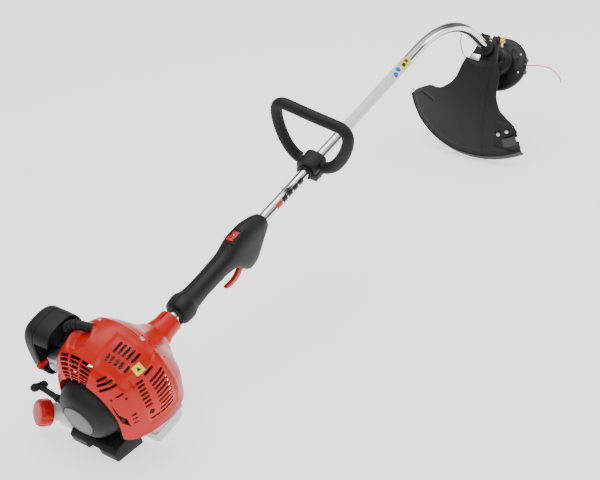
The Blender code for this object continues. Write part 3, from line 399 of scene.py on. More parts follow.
def joined(name, objs):
    """One mesh out of several, each keeping its own finish."""
    bm = bmesh.new()
    mesh = bpy.data.meshes.new(name)
    finishes = []
    for obj in objs:
        for finish in obj.data.materials:
            if finish not in finishes:
                finishes.append(finish)
        before = len(bm.faces)
        bm.from_mesh(obj.data)
        bm.faces.ensure_lookup_table()
        for face in bm.faces[before:]:
            face.material_index = finishes.index(obj.data.materials[face.material_index])
    bm.to_mesh(mesh)
    bm.free()
    for finish in finishes:
        mesh.materials.append(finish)
    for obj in objs:
        bpy.data.objects.remove(obj)
    mesh.set_sharp_from_angle(angle=math.radians(35.0))
    return new_object(name, mesh)


def wrapped(name, rear, front, low, high, finish, lift=0.1):
    """Film on the tube between two distances and two angles, turned from the top to the right."""
    rows = []
    for i in range(9):
        x = rear + (front - rear) * i / 8
        angles = [math.radians(low + (high - low) * j / 32) for j in range(33)]
        rows.append([(x, -(TUBE_R + lift) * math.sin(a), (TUBE_R + lift) * math.cos(a)) for a in angles])
    return thicken(grid_piece(name, rows, finish), 0.1, 1.0)


def disc_on_tube(name, x, angle, radius, finish, lift=0.3):
    rows = []
    for i in range(5):
        r = radius * max(i, 0.05) / 4
        ring = []
        for j in range(28):
            turn = math.tau * j / 28
            a = math.radians(angle) + r * math.sin(turn) / TUBE_R
            reach = TUBE_R + lift
            ring.append((x + r * math.cos(turn), -reach * math.sin(a), reach * math.cos(a)))
        rows.append(ring)
    return thicken(grid_piece(name, rows, finish, closed=True), 0.1, 1.0)


def label_material(name, paper, ink, size):
    """Printed film: rows of small pale blocks, no lettering."""
    made = material(name, paper, 0.35, grain=0.02, uneven=0.03, dust=0.0)
    nodes, link = made.node_tree.nodes, made.node_tree.links.new
    coord = nodes.new("ShaderNodeTexCoord")
    turn = nodes.new("ShaderNodeMapping")
    turn.inputs["Rotation"].default_value = (0.0, STAND_PITCH, 0.0)
    blocks = nodes.new("ShaderNodeTexBrick")
    blocks.inputs["Color1"].default_value = (*paper, 1.0)
    blocks.inputs["Color2"].default_value = (*ink, 1.0)
    blocks.inputs["Mortar"].default_value = (*paper, 1.0)
    blocks.inputs["Scale"].default_value = size
    blocks.inputs["Mortar Size"].default_value = 0.05
    blocks.inputs["Bias"].default_value = -0.35
    link(coord.outputs["Object"], turn.inputs["Vector"])
    link(turn.outputs["Vector"], blocks.inputs["Vector"])
    link(blocks.outputs["Color"], nodes["Principled BSDF"].inputs["Base Color"])
    return made


CHROME = material("bright_chrome", (0.80, 0.81, 0.83), 0.10, metal=1.0, grain=0.02, uneven=0.04, dust=0.0)
arc = [(BEND_R * math.sin(BEND_ANGLE * i / 72), 0.0, BEND_R * (math.cos(BEND_ANGLE * i / 72) - 1.0))
       for i in range(73)]
tube = bar("tube", [(-897.0, 0.0, 0.0), (-600.0, 0.0, 0.0), (-300.0, 0.0, 0.0)] + arc + [head(0, 0, 78.0)],
           TUBE_R, 64, CHROME)
fit(tube, "trimmer", "shaft_chrome", "shaft_tube")

FILM = label_material("label_film", (0.80, 0.81, 0.82), (0.52, 0.54, 0.58), 170.0)
BLUE_INK = material("blue_ink", (0.02, 0.13, 0.55), 0.35, grain=0.02, uneven=0.05, dust=0.0)
YELLOW_INK = material("yellow_ink", (0.88, 0.80, 0.04), 0.35, grain=0.02, uneven=0.05, dust=0.0)
BLACK_INK = material("black_ink", (0.012, 0.012, 0.014), 0.35, grain=0.02, uneven=0.05, dust=0.0)
RED_INK = material("red_ink", (0.70, 0.03, 0.02), 0.35, grain=0.02, uneven=0.05, dust=0.0)
labels = [wrapped("pale_label", -330.0, -80.5, -50.0, 125.0, FILM),
          wrapped("yellow_band", -80.0, -48.0, -50.0, 125.0, YELLOW_INK),
          disc_on_tube("blue_disc_1", -92.0, 28.0, 6.2, BLUE_INK),
          disc_on_tube("blue_disc_2", -107.0, 52.0, 6.2, BLUE_INK),
          wrapped("band_mark_1", -76.0, -66.0, 20.0, 62.0, BLACK_INK, 0.3),
          wrapped("band_mark_2", -62.0, -54.0, 10.0, 48.0, BLACK_INK, 0.3),
          wrapped("red_stripe", -560.0, -543.0, 40.0, 95.0, RED_INK)]
labels += [wrapped("dark_stripe_%d" % i, -539.0 + 18.0 * i, -525.0 + 18.0 * i, 40.0, 95.0, BLACK_INK)
           for i in range(4)]
fit(joined("tube_labels", labels), "trimmer", "shaft_chrome")

# ------------------------------------------------------------ rear grip, trigger and stop switch
# Two moulded halves in soft matt black screwed together round the tube, with a
# finger swelling behind the trigger.  The trigger and the rocker of the stop
# switch are bright red mouldings set into slots cut where the halves meet.
BLACK = material("matt_black_plastic", (0.006, 0.006, 0.007), 0.5, grain=0.25, grain_scale=1400.0,
                 uneven=0.2, dust=0.03, soften=0.0006)
RUBBER = material("black_rubber", (0.006, 0.006, 0.007), 0.62, grain=0.3, grain_scale=1100.0,
                  uneven=0.2, dust=0.04, soften=0.0005)
RED = material("glossy_red_plastic", (0.56, 0.007, 0.0), 0.3, grain=0.05, grain_scale=700.0,
               uneven=0.06, dust=0.0, coat=0.05, soften=0.0006)
for finish in (BLACK, RUBBER, RED):
    finish.node_tree.nodes["Principled BSDF"].inputs["Specular IOR Level"].default_value = 0.25
BRIGHT_STEEL = material("plated_screw_steel", (0.68, 0.68, 0.70), 0.28, metal=1.0, grain=0.05,
                        uneven=0.1, dust=0.0, soften=0.0002)


def basis(z_axis, x_hint=X_AXIS):
    z = Vector(z_axis).normalized()
    x = Vector(x_hint) - z * z.dot(Vector(x_hint))
    if x.length < 1e-3:
        x = Z_AXIS - z * z.dot(Z_AXIS)
    x.normalize()
    return x, z.cross(x), z


def spun(name, profile, origin, axis, finish, steps=48, crease=35.0):
    """Turned solid from (radius, height) pairs; the profile ends on the axis or closes on itself."""
    x, y, z = basis(axis)
    origin = Vector(origin)
    points, rings = [], []
    for radius, height in profile:
        rings.append(len(points))
        if radius < 1e-6:
            points.append(at(origin + z * height))
        else:
            for i in range(steps):
                turn = math.tau * i / steps
                side = x * math.cos(turn) + y * math.sin(turn)
                points.append(at(origin + side * radius + z * height))
    on_axis = [radius < 1e-6 for radius, height in profile]
    pairs = list(zip(range(len(profile) - 1), range(1, len(profile))))
    if not on_axis[0]:
        pairs.append((len(profile) - 1, 0))
    faces = []
    for a, b in pairs:
        for i in range(steps):
            k = (i + 1) % steps
            ring_a = [rings[a]] if on_axis[a] else [rings[a] + i, rings[a] + k]
            ring_b = [rings[b]] if on_axis[b] else [rings[b] + k, rings[b] + i]
            if len(ring_a) + len(ring_b) > 2:
                faces.append(ring_a + ring_b)
    mesh = bpy.data.meshes.new(name)
    mesh.from_pydata(points, [], faces)
    mesh.materials.append(finish)
    facing_out(mesh, crease)
    return new_object(name, mesh)


def rounded(obj, width, segments=2, crease=30.0):
    """Rounds every edge sharper than the crease, in millimetres."""
    edge = obj.modifiers.new("edge", "BEVEL")
    edge.width = width * 0.001
    edge.segments = segments
    edge.angle_limit = math.radians(crease)
    edge.harden_normals = False
    baked(obj)
    obj.data.set_sharp_from_angle(angle=math.radians(35.0))
    return obj


def slab(name, outline, thickness, origin, normal, finish, edge=0.0, x_hint=X_AXIS):
    """Flat outline thickened about its plane; x_hint gives the outline's own x."""
    x, y, z = basis(normal, x_hint)
    origin = Vector(origin)
    count = len(outline)
    points = [at(origin + x * u + y * v + z * (thickness * s))
              for s in (-0.5, 0.5) for u, v in outline]
    faces = [tuple(range(count))[::-1], tuple(range(count, 2 * count))]
    faces += [(i, (i + 1) % count, count + (i + 1) % count, count + i) for i in range(count)]
    mesh = bpy.data.meshes.new(name)
    mesh.from_pydata(points, [], faces)
    mesh.materials.append(finish)
    facing_out(mesh)
    obj = new_object(name, mesh)
    return rounded(obj, edge) if edge else obj


def block(name, low, high, finish, edge=0.0):
    """Rounded block between two corners in the shaft frame."""
    low, high = Vector(low), Vector(high)
    outline = [(low.x, low.y), (high.x, low.y), (high.x, high.y), (low.x, high.y)]
    return slab(name, outline, high.z - low.z, (0, 0, (low.z + high.z) / 2), Z_AXIS, finish, edge)


def plain(half_x, half_y):
    """Outline of a rectangle about its own centre."""
    return [(-half_x, -half_y), (half_x, -half_y), (half_x, half_y), (-half_x, half_y)]


def drill(radius, reach, place, axis, steps=48):
    """Round tool running its reach both ways from a place."""
    profile = [(0, reach), (radius, reach), (radius, -reach), (0, -reach)]
    return spun("drill", profile, place, axis, BLACK, steps)


def cut(obj, tools):
    """Exact Boolean with the tools, which are used up."""
    for tool in tools:
        change = obj.modifiers.new("cut", "BOOLEAN")
        change.operation = "DIFFERENCE"
        change.solver = "EXACT"
        change.object = tool
        baked(obj)
        bpy.data.objects.remove(tool)
    obj.data.set_sharp_from_angle(angle=math.radians(35.0))
    return obj


GRIP_KEYS = ((-868, 17, 17, 17), (-862, 23.5, 23.5, 23.5), (-842, 25, 25, 25), (-826, 20.5, 20.5, 20.5),
             (-800, 18.5, 18.5, 18.5), (-745, 19, 19, 19.5), (-718, 20, 21.5, 24), (-702, 21, 28, 31),
             (-686, 22, 33, 48), (-668, 22, 34, 64), (-648, 21.5, 33, 62), (-628, 20, 28, 44),
             (-612, 18.5, 22, 27), (-600, 15.5, 16, 17))


def grip_rows():
    """Rounded sections from rear to front, with a parting line and shallow finger ridges below."""
    widths = spline([(x, w, 0) for x, w, t, b in GRIP_KEYS], 104)
    heights = spline([(x, t, b) for x, w, t, b in GRIP_KEYS], 104)
    turns = sorted([math.tau * i / 60 for i in range(60)]
                   + [math.radians(a) for a in (88.4, 89.2, 90.8, 91.6, 268.4, 269.2, 270.8, 271.6)])
    rows = []
    for wide, tall in zip(widths, heights):
        ridge = 1.3 * math.sin((wide.x + 826.0) * math.tau / 27.0) if -826.0 < wide.x < -718.0 else 0.0
        row = []
        for turn in turns:
            c, s = math.cos(turn), math.sin(turn)
            y = wide.y * math.copysign(abs(c) ** 0.83, c)
            z = (tall.y if s > 0 else tall.z) * math.copysign(abs(s) ** 0.83, s)
            if s < -0.3:
                z += ridge * (-s - 0.3)
            if abs(c) < 0.016:
                z -= math.copysign(0.9, z)
            row.append((wide.x, y, z))
        rows.append(row)
    return rows


grip = grid_piece("grip_body", grip_rows(), BLACK, closed=True, caps=True)
cut(grip, [block("slot_tool", (-756, -4.4, -90), (-656, 4.4, -12), BLACK),
           block("pocket_tool", (-697.6, -9.8, 19), (-668.2, 5.8, 60), BLACK)])
grip_screws = [spun("grip_screw_%d" % i, [(0, 1.2), (2.0, 1.2), (3.6, 0.4), (3.8, -2.0), (0, -2.0)],
                    (x, w, z), (0, 1, 0), BRIGHT_STEEL, 24)
               for i, (x, w, z) in enumerate(((-842, 24.6, 10), (-770, 18.4, 4), (-640, 20.4, 4)))]
switch_rim = slab("switch_rim", plain(17.5, 10.5), 5.0,
                  (-683, -2, 31.0), (-0.15, 0, 1), BLACK, 1.2)
cut(switch_rim, [block("rim_tool", (-697.6, -9.8, 10), (-668.2, 5.8, 60), BLACK)])
tail = block("grip_tail", (-880, -7, -24), (-862, 7, -13), BLACK, 2.0)
fit(joined("rear_grip", [grip, switch_rim, tail] + grip_screws), "trimmer", "black_plastic",
    "grip_left", "grip_right")

trigger_lever = slab("trigger_lever",
                     [(-8, 8), (6, 8), (9, 0), (6, -10), (-2, -17), (-12, -25), (-24, -32), (-34, -33.5),
                      (-48, -33.5), (-60, -30), (-66, -25), (-62, -22), (-52, -23.5), (-42, -24),
                      (-32, -21.5), (-22, -16), (-12, -6)], 7.5, (-672, 0, -28), (0, -1, 0), RED, 1.3)
fit(trigger_lever, "trigger", "red_plastic", "trigger")

rocker = slab("rocker", [(-13.5, -3), (-13.5, 5.5), (-8.5, 6), (0, 3.6), (8.5, 5.2), (13.5, 4.4), (13.5, -3),
                         (0, -6)], 14.0, (-683, -2, 29), (0, -1, 0), RED, 1.0)
rocker_dot = spun("rocker_dot", [(0, 0.4), (1.5, 0.4), (1.5, -1), (0, -1)], (-680.5, -2, 33.1),
                  (-0.2, 0, 1), FILM, 20)
rocker_bar = slab("rocker_bar", plain(4, 0.6), 0.6, (-690.5, -2, 34.9),
                  (0.1, 0, 1), BLACK_INK, 0.0, Y_AXIS)
fit(joined("stop_rocker", [rocker, rocker_dot, rocker_bar]), "stop_switch", "red_plastic", "stop_switch")

# ------------------------------------------------------------ loop handle and its clamp
# A bent bar moulded over with black rubber, held between two plastic blocks on
# a rubber liner.  Two yellow-plated bolts come up from below.
HANDLE_X = -425.0
HANDLE_ROLL = math.radians(11.0)
GOLD = material("yellow_zinc_plate", (0.66, 0.40, 0.11), 0.34, metal=1.0, grain=0.15, grain_scale=1500.0,
                uneven=0.4, dust=0.0, soften=0.0003)


def loop_point(left, up, along=0.0):
    c, s = math.cos(HANDLE_ROLL), math.sin(HANDLE_ROLL)
    return Vector((HANDLE_X + along, left * c - up * s, left * s + up * c))


LOOP_UP = loop_point(0, 1) - loop_point(0, 0)
LOOP_LEFT = loop_point(1, 0) - loop_point(0, 0)
half_loop = [(26.4, 9.5), (36, 12.5), (53, 27), (66, 49), (75, 72), (80.5, 98), (79, 119), (67, 131),
             (45, 132.5), (20, 132), (0, 132)]
loop_keys = [loop_point(l, u) for l, u in half_loop + [(-l, u) for l, u in reversed(half_loop[:-1])]]
loop_run = spline(loop_keys, 140)
loop_bar = bar("loop_bar", loop_run, 11.5, 40, RUBBER)
ridges = []
for i in range(9, 36, 3):
    for k in (i, 140 - i):
        inward = (loop_point(0, 74) - loop_run[k]).normalized()
        ridges.append(spun("finger_ridge", [(0, 2.2), (3.4, 1.6), (5.4, 0.0), (5.8, -2.0), (0, -2.0)],
                           loop_run[k] + inward * 10.8, inward, RUBBER, 14))
fit(joined("loop_grip", [loop_bar] + ridges), "loop_handle", "black_rubber", "loop_handle")

LINER_R = 11.45
liner_profile = [(16, 24), (16, 22), (14, 22), (14, -22), (16, -22), (16, -24), (LINER_R, -24), (LINER_R, 24)]
liner = spun("liner", liner_profile, (HANDLE_X, 0, 0), X_AXIS, RUBBER)
fit(liner, "handle_slider", "black_rubber", "handle_liner")

cradle_outline = [(-22.8, 1), (22.8, 1), (22.8, 14), (19, 19), (9, 23.4), (-9, 23.4), (-19, 19), (-22.8, 14)]
cradle = slab("cradle", cradle_outline, 40.0, loop_point(0, 0), X_AXIS, BLACK, 2.2, LOOP_LEFT)
LINER_BORE = 14.15
cut(cradle, [drill(LINER_BORE, 40, loop_point(0, 0), X_AXIS)])
fit(cradle, "loop_handle", "black_plastic", "handle_cradle")
lower = slab("clamp", [(-23.5, -1.2), (-23.5, -17), (-20, -18.5), (20, -18.5), (23.5, -17), (23.5, -1.2)], 36.0,
             loop_point(0, 0), X_AXIS, BLACK, 1.5, LOOP_LEFT)
cut(lower, [drill(LINER_BORE, 40, loop_point(0, 0), X_AXIS),
            slab("groove", [(-8, -20), (8, -20), (8, -17), (-8, -17)], 26.0, loop_point(0, 0), X_AXIS,
                 BLACK, 0.0, LOOP_LEFT)])
fit(lower, "loop_handle", "black_plastic", "handle_clamp")


def hexagon(across):
    return [(across / 1.732 * math.cos(math.radians(60 * i)), across / 1.732 * math.sin(math.radians(60 * i)))
            for i in range(6)]


for number, side in ((1, 18.6), (2, -18.6)):
    foot_point = loop_point(side, 0)
    shank = spun("shank", [(0, 12.5), (2.4, 12.5), (2.4, -19), (0, -19)], foot_point, LOOP_UP, GOLD, 20)
    flange = spun("flange", [(0, -18.9), (4.6, -18.9), (4.6, -19.8), (0, -19.8)], foot_point, LOOP_UP, GOLD, 24)
    top = slab("bolt_head", hexagon(7.2), 2.8, loop_point(side, -21.2), LOOP_UP, GOLD, 0.4)
    fit(joined("clamp_bolt_%d" % number, [shank, flange, top]), "loop_handle", "yellow_zinc",
        "handle_bolt_%d" % number)

# ------------------------------------------------------------ engine cover and rear grille
# One glossy red moulding over the fan and cylinder, 2.5 mm thick, cut through
# with cooling slots on its top, its right side and its rear.  Shallow panels
# step down round the slots, and a scoop leaves room for the plug boot.
COVER_KEYS = ((-926, (20, 26), (8, 32), (-9, 32), (-23, 24), (-31, 11), (-33, -6), (-28, -20)),
              (-945, (24, 38), (9, 49), (-12, 50), (-32, 40), (-47, 22), (-57, -4), (-52, -28)),
              (-960, (32, 52), (16, 67), (-14, 69), (-42, 56), (-64, 34), (-80, 0), (-75, -40)),
              (-978, (42, 68), (24, 89), (-12, 94), (-48, 80), (-76, 54), (-96, 6), (-91, -50)),
              (-1000, (50, 78), (34, 105), (-10, 113), (-48, 100), (-84, 74), (-104, 14), (-98, -52)),
              (-1030, (59, 79), (42, 109), (-2, 118), (-45, 106), (-86, 82), (-105, 20), (-99, -52)),
              (-1046, (63, 76), (47, 107), (1, 117), (-43, 104), (-83, 80), (-101, 18), (-95, -52)),
              (-1062.5, (65, 72), (48, 102), (3, 112), (-40, 100), (-76, 75), (-95, 17), (-90, -52)))
GRILLE_KEYS = ((-1062.5, (60, 8), (64, 40), (65, 72), (48, 102), (3, 112), (-40, 100), (-76, 75), (-95, 17),
                (-90, -52)),
               (-1084, (60, 6), (62, 37), (60, 69), (45, 94), (4, 103), (-34, 89), (-64, 64), (-82, 12),
                (-78, -52)),
               (-1096, (60, 5), (60, 33), (53, 58), (37, 76), (3, 84), (-29, 74), (-54, 51), (-70, 6),
                (-67, -49)),
               (-1101, (60, 5), (56, 29), (45, 49), (29, 61), (2, 69), (-25, 63), (-48, 43), (-64, 4),
                (-60, -46)))


def ease(low, high, value):
    t = min(max((value - low) / (high - low), 0.0), 1.0)
    return t * t * (3.0 - 2.0 * t)


def window(value, low, high, soft):
    return ease(low, low + soft, value) * (1.0 - ease(high - soft, high, value))


def stepped(point):
    """Moves a cover point in or out for the panels, the scoop and the stiffening ribs."""
    x, y, z = point
    depth = 0.0
    if z > 58.0:
        depth += 1.9 * window(x, -1079, -1012, 4) * window(y, -90, -27, 4)
        reach = math.hypot((x + 1049.0) / 27.0, (y - 25.0) / 19.0)
        depth += 10.0 * (1.0 - ease(0.62, 1.0, reach)) - 1.6 * window(reach, 0.98, 1.3, 0.14)
    if y < -78.0:
        depth += 1.7 * window(x, -1064, -997, 4) * window(z, -36, 77, 5)
    depth -= 1.2 * window(x, -999, -989, 4) * (1.0 if z > -20 else 0.0)
    out = Vector((0.0, y, z)).normalized()
    return Vector(point) - out * depth


def section_rows(keys, row_count, column_count):
    sections = [spline([(key[0], y, z) for y, z in key[1:]], column_count) for key in keys]
    columns = [spline([section[j] for section in sections], row_count) for j in range(column_count + 1)]
    return [[stepped(column[i]) for column in columns] for i in range(row_count + 1)]


cover = grid_piece("cover_shell", section_rows(COVER_KEYS, 98, 120), RED)
grille_holes = set()
for top in range(9, 34, 4):
    for left in (37, 44, 51):
        grille_holes.update((i, j) for i in range(top, top + 3) for j in range(left, left + 6))
grille = grid_piece("grille_shell", section_rows(GRILLE_KEYS, 36, 96), RED, holes=grille_holes)
for shell in (cover, grille):
    axis_point = at((-1040, 0, 20))
    if sum(face.normal.dot(face.center - axis_point) for face in shell.data.polygons) < 0:
        shell.data.flip_normals()


def onto(shell, point):
    """Nearest place on the shell and the outward direction there, in the shaft frame."""
    place, normal = shell.closest_point_on_mesh(at(point))[1:3]
    place = SHAFT.inverted() @ place
    normal = (TURN.transposed() @ normal).normalized()
    if normal.dot(Vector((0.0, place.y, place.z))) < 0.0:
        normal = -normal
    return place, normal


def slot_tool(shell, a, b, radius):
    """Prism with round ends that cuts one slot through the wall between two places."""
    a, b = Vector(a), Vector(b)
    place, normal = onto(shell, (a + b) / 2)
    half = (b - a).length / 2
    turns = [math.radians(angle) for angle in range(-90, 91, 30)]
    outline = [(side * (half + radius * math.cos(t)), side * radius * math.sin(t))
               for side in (1, -1) for t in turns]
    return slab("slot_tool", outline, 14.0, place, normal, RED, 0.0, b - a)


def straight(x, y, z, length, tilt=0.0):
    return [(x - length / 2, y, z - tilt), (x + length / 2, y, z + tilt)]


cover_slots = []
for x, y, z in ((-1033, -43, 106), (-1032, -51, 104), (-1031, -59, 101), (-1031, -67, 97), (-1030, -75.5, 92)):
    cover_slots.append((straight(x, y, z, 18), 2.4))
for x, y, z in ((-1055.5, -38.5, 102), (-1055, -46, 99), (-1054.5, -55, 95), (-1054, -63, 91),
                (-1053, -72, 85)):
    cover_slots.append((straight(x, y, z, 9), 2.4))
for i in range(9):
    slot_length = 26 if i > 5 else 29
    cover_slots.append((straight(-1020 - 1.2 * max(i - 4, 0), -103, 53 - 9.3 * i, slot_length), 2.5))
cover_slots.append((straight(-1028, -93, 67.5, 17), 2.5))
for i in range(7):
    cover_slots.append((straight(-1053.5, -94, 62 - 8.4 * i, 9.5), 2.3))
cover_slots.append((straight(-1050, -98, -21, 14), 2.3))
cover_slots += [(straight(x, y, z, 1.5), 1.6) for x, y, z in
                ((-984, -50, 88), (-983, -62, 80), (-984, -73, 70), (-985, -85, 52))]
tools = [slot_tool(cover, a, b, radius) for (a, b), radius in cover_slots]
hole_place, hole_normal = onto(cover, (-1054, -97, -5))
tools.append(drill(5.2, 6, hole_place, hole_normal, 24))
thicken(cover, 2.5)
cut(cover, tools)

grille_slots = [((-1090, -38, 79), (-1081, -49, 84), 2.2), ((-1093, -39, 71.5), (-1087, -50, 75), 2.4),
                ((-1087, -51, 75), (-1079, -58, 78.5), 2.2), ((-1095, -43, 63), (-1088, -55, 67), 2.4),
                ((-1088, -56, 67), (-1079, -65, 71), 2.2), ((-1087, -67, 51), (-1079, -74, 54), 1.9),
                ((-1079.5, -78, 44), (-1078, -79, 44.5), 1.8), ((-1094, -59, 46), (-1093, -60, 46), 1.7)]
grille_slots += [((-1083, -83, z), (-1078, -86, z + 1), 1.9) for z in (9, 0, -9)]
tools = [slot_tool(grille, a, b, radius) for a, b, radius in grille_slots]
tools.append(slab("leg_opening", [(-10.3, 28), (-8.4, 10), (-2.5, -13), (8.7, -25), (7.3, -5), (-2.6, 5)], 26.0,
                  (-1093, -69, 10), (-0.78, -0.62, 0), RED, 0.8, (0.62, -0.78, 0)))
thicken(grille, 2.4)
cut(grille, tools)
fit(cover, "trimmer", "red_plastic", "engine_cover")
fit(grille, "trimmer", "red_plastic", "rear_grille")


def cross_screw(name, point, normal, radius=4.2):
    """Pan-head screw with a cross recess."""
    profile = [(0, 2.0), (radius * 0.55, 1.9), (radius * 0.9, 1.2), (radius, 0.3), (radius, -3.0), (0, -3.0)]
    screw = spun(name, profile, point, normal, BRIGHT_STEEL, 28)
    arm = radius * 0.5
    centre = Vector(point) + Vector(normal).normalized() * 2.2
    first = Vector((1, 0.3, 0.2))
    tools = [slab("recess", plain(arm, 0.5), 2.4, centre, normal, BRIGHT_STEEL, 0.0, hint)
             for hint in (first, first.cross(Vector(normal)))]
    return cut(screw, tools)


screws = []
for point, radius in (((-994, -57, 92), 4.4), ((-1040, -80, -30), 4.0), ((-1003, 20, 114), 4.0)):
    place, normal = onto(cover, point)
    screws.append(cross_screw("cover_screw", place, normal, radius))
fit(joined("cover_screws", screws), "trimmer", "plated_steel")

STICKER = material("yellow_sticker", (0.93, 0.78, 0.02), 0.3, grain=0.02, uneven=0.05, dust=0.0)
place, normal = onto(cover, (-1041, -85, 80))
square = slab("sticker_film", plain(8.5, 8.5), 0.5, place + normal * 0.5, normal, STICKER, 0.2)
mark = slab("sticker_mark", [(-4, -3), (4, -3), (0, 4.5)], 0.3, place + normal * 0.9, normal, BLACK_INK, 0.0,
            Vector((0.8, -0.4, 0.2)))
fit(joined("sticker", [square, mark]), "trimmer", "red_plastic")

# ------------------------------------------------------------ clutch neck
# Die-cast neck painted like the cover, bolted to it, with a split collar that
# grips the tube.
neck = spun("neck", [(20.5, -880), (21.6, -880.8), (22.5, -884), (22.9, -900), (24.5, -908), (28.8, -925),
                     (30.5, -950), (26, -950), (26, -922), (13.3, -919), (13.3, -905), (11.4, -904),
                     (11.4, -880)], (0, 0, 0), X_AXIS, RED, 64, 28.0)
cut(neck, [block("collar_split", (-902, -1.2, 8), (-870, 1.2, 40), RED)])
fit(neck, "trimmer", "red_plastic", "clutch_case")

# ------------------------------------------------------------ starter cover, badge, pull grip and stand
# Black moulded dome over the recoil starter with a round grey badge in its
# middle.  The rope leaves through its upper left side to a T-shaped grip, and
# a moulded foot with two pads carries the engine on the floor.
GREY = material("grey_badge", (0.085, 0.085, 0.09), 0.38, grain=0.15, uneven=0.12, dust=0.02, soften=0.0004)
ROPE_LINE = Vector((0.0, 0.96, 0.28)).normalized()
ROPE_START = Vector((-1110.0, 0.0, 0.0)) + Vector((0.0, ROPE_LINE.z, -ROPE_LINE.y)) * 12.5

dome_profile = [(58, -1060), (58.4, -1062), (58.4, -1066), (57.9, -1067), (57.9, -1086), (56.5, -1100),
                (54.6, -1107), (52, -1113), (48.4, -1118), (44, -1122), (39, -1125), (34.5, -1126.8),
                (33.5, -1127.6), (31.2, -1127.6), (30.8, -1126), (3, -1126), (3, -1123.5), (32, -1123.5),
                (42, -1119.5), (49.5, -1111), (54, -1099), (55.5, -1086), (55.5, -1060)]
dome = spun("starter_dome", dome_profile, (0, 0, 0), X_AXIS, BLACK, 96, 24.0)
rope_hole = ROPE_START + ROPE_LINE * 54
cut(dome, [drill(3, 15, rope_hole, ROPE_LINE, 24)])
ribs = []
for i in range(7):
    turn = math.radians(200 + 20 * i)
    out = Vector((0, math.cos(turn), math.sin(turn)))
    ribs.append(slab("dome_rib", [(-1082, 55), (-1066, 57), (-1066, 60.2), (-1080, 60.2)], 2.2, (0, 0, 0),
                     X_AXIS.cross(out), BLACK, 0.6))
lug_points = [spun("dome_lug", [(0, -1062), (7, -1062), (7, -1069), (6.2, -1070), (0, -1070)],
                   (0, 60 * math.cos(math.radians(a)), 60 * math.sin(math.radians(a))), X_AXIS, BLACK, 24)
              for a in (150, 322)]
guide_profile = [(5.8, 53), (5.8, 58), (4.8, 59.6), (3.1, 59.6), (3.1, 53)]
rope_guide = spun("rope_guide", guide_profile, ROPE_START, ROPE_LINE, BLACK, 32)
fit(joined("starter_dome_body", [dome, rope_guide] + ribs + lug_points), "trimmer", "black_plastic",
    "starter_cover")

badge = spun("badge_plate", [(0, -1126.3), (30, -1126.3), (30, -1128.8), (29.2, -1129.8), (27.6, -1129.8),
                             (27.0, -1129.2), (24, -1129.7), (0, -1130.2)], (0, 0, 0), X_AXIS, GREY, 72, 24.0)
fit(badge, "trimmer", "grey_plastic", "starter_badge")

stem_profile = [(0, 44), (5.6, 44), (5.8, 40), (4.9, 36), (4.9, 16), (5.4, 14), (5.4, 11), (4.9, 9), (7, 2),
                (7, 0), (1.7, 0), (1.7, 2), (0, 2)]
stem = spun("pull_stem", stem_profile, ROPE_START + ROPE_LINE * 60, ROPE_LINE, BLACK, 32)
BAR_AXIS = Vector((0.84, 0.0, -0.53)).normalized()
cross_bar = spun("pull_bar", [(0, 18), (3, 17.6), (5, 16), (7.2, 12), (7.4, 9), (6.4, 3), (6.3, 0), (6.4, -3),
                              (7.4, -9), (7.2, -12), (5, -16), (3, -17.6), (0, -18)],
                 ROPE_START + ROPE_LINE * 101, BAR_AXIS, BLACK, 32)
fit(joined("pull_grip", [stem, cross_bar]), "starter_grip", "black_plastic", "starter_grip")
ROPE = material("braided_rope", (0.30, 0.29, 0.27), 0.8, grain=0.9, grain_scale=1800.0, uneven=0.5)
rope = bar("pull_rope", [ROPE_START + ROPE_LINE * t for t in (-45, 0, 30, 59.5)], 1.5, 20, ROPE)
fit(rope, "starter_grip", "rope_fibre", "starter_rope")


def floor_z(x, lift=0.0):
    """Height of the floor under a place on the shaft's own line, plus a lift."""
    return FOOT_Z - (x - FOOT_X) * math.tan(STAND_PITCH) + lift


stand_side = [(-1122, floor_z(-1122)), (-1062, floor_z(-1062)), (-1062, -36), (-1066, -30), (-1076, -48),
              (-1086, -62.5), (-1116, -62.5), (-1124, -70)]
foot = slab("foot", stand_side, 104.0, (0, 0, 0), (0, -1, 0), BLACK, 1.6)
cut(foot, [spun("saddle", [(0, -1020), (59, -1020), (59, -1160), (0, -1160)], (0, 0, 0), X_AXIS, BLACK, 72),
           block("rear_notch", (-1140, -15, -120), (-1102, 15, -70), BLACK),
           block("hollow_left", (-1118, 17.5, -120), (-1070, 46, floor_z(-1100, 9)), BLACK),
           block("hollow_right", (-1118, -46, -120), (-1070, -17.5, floor_z(-1100, 9)), BLACK)])
fit(foot, "trimmer", "black_plastic", "engine_stand")

# ------------------------------------------------------------ fuel tank, cap and fuel line
# Blown polyethylene tank, milky and slightly see-through, with a slanted neck
# on its left arm.  The red cap has ten grip lobes.
TANK = material("milky_tank_plastic", (0.74, 0.75, 0.74), 0.34, grain=0.05, uneven=0.06, dust=0.0, through=0.12,
                soften=0.001)
CAP_CENTRE = Vector((-1120, 108, -47))
CAP_AXIS = Vector((-0.76, 0.375, 0.52)).normalized()
tank_block = block("tank_block", (-1056, -86, -102), (-985, 100, -42), TANK, 11.0)
tank_arm = block("tank_arm", (-1110, 62, -88), (-1030, 99.7, -42.3), TANK, 10.0)
tank_neck = spun("tank_neck", [(12.5, -3), (16, -3), (16, -36), (12.5, -36)], CAP_CENTRE, CAP_AXIS, TANK, 48)
tank_seam = block("tank_seam", (-1057.2, -87.2, -73.2), (-983.8, 101.2, -71), TANK, 1.0)
for piece in (tank_block, tank_arm, tank_seam):
    piece.data.set_sharp_from_angle(angle=math.radians(50))
fit(joined("tank_shell", [tank_block, tank_arm, tank_neck, tank_seam]), "trimmer", "tank_plastic", "fuel_tank")

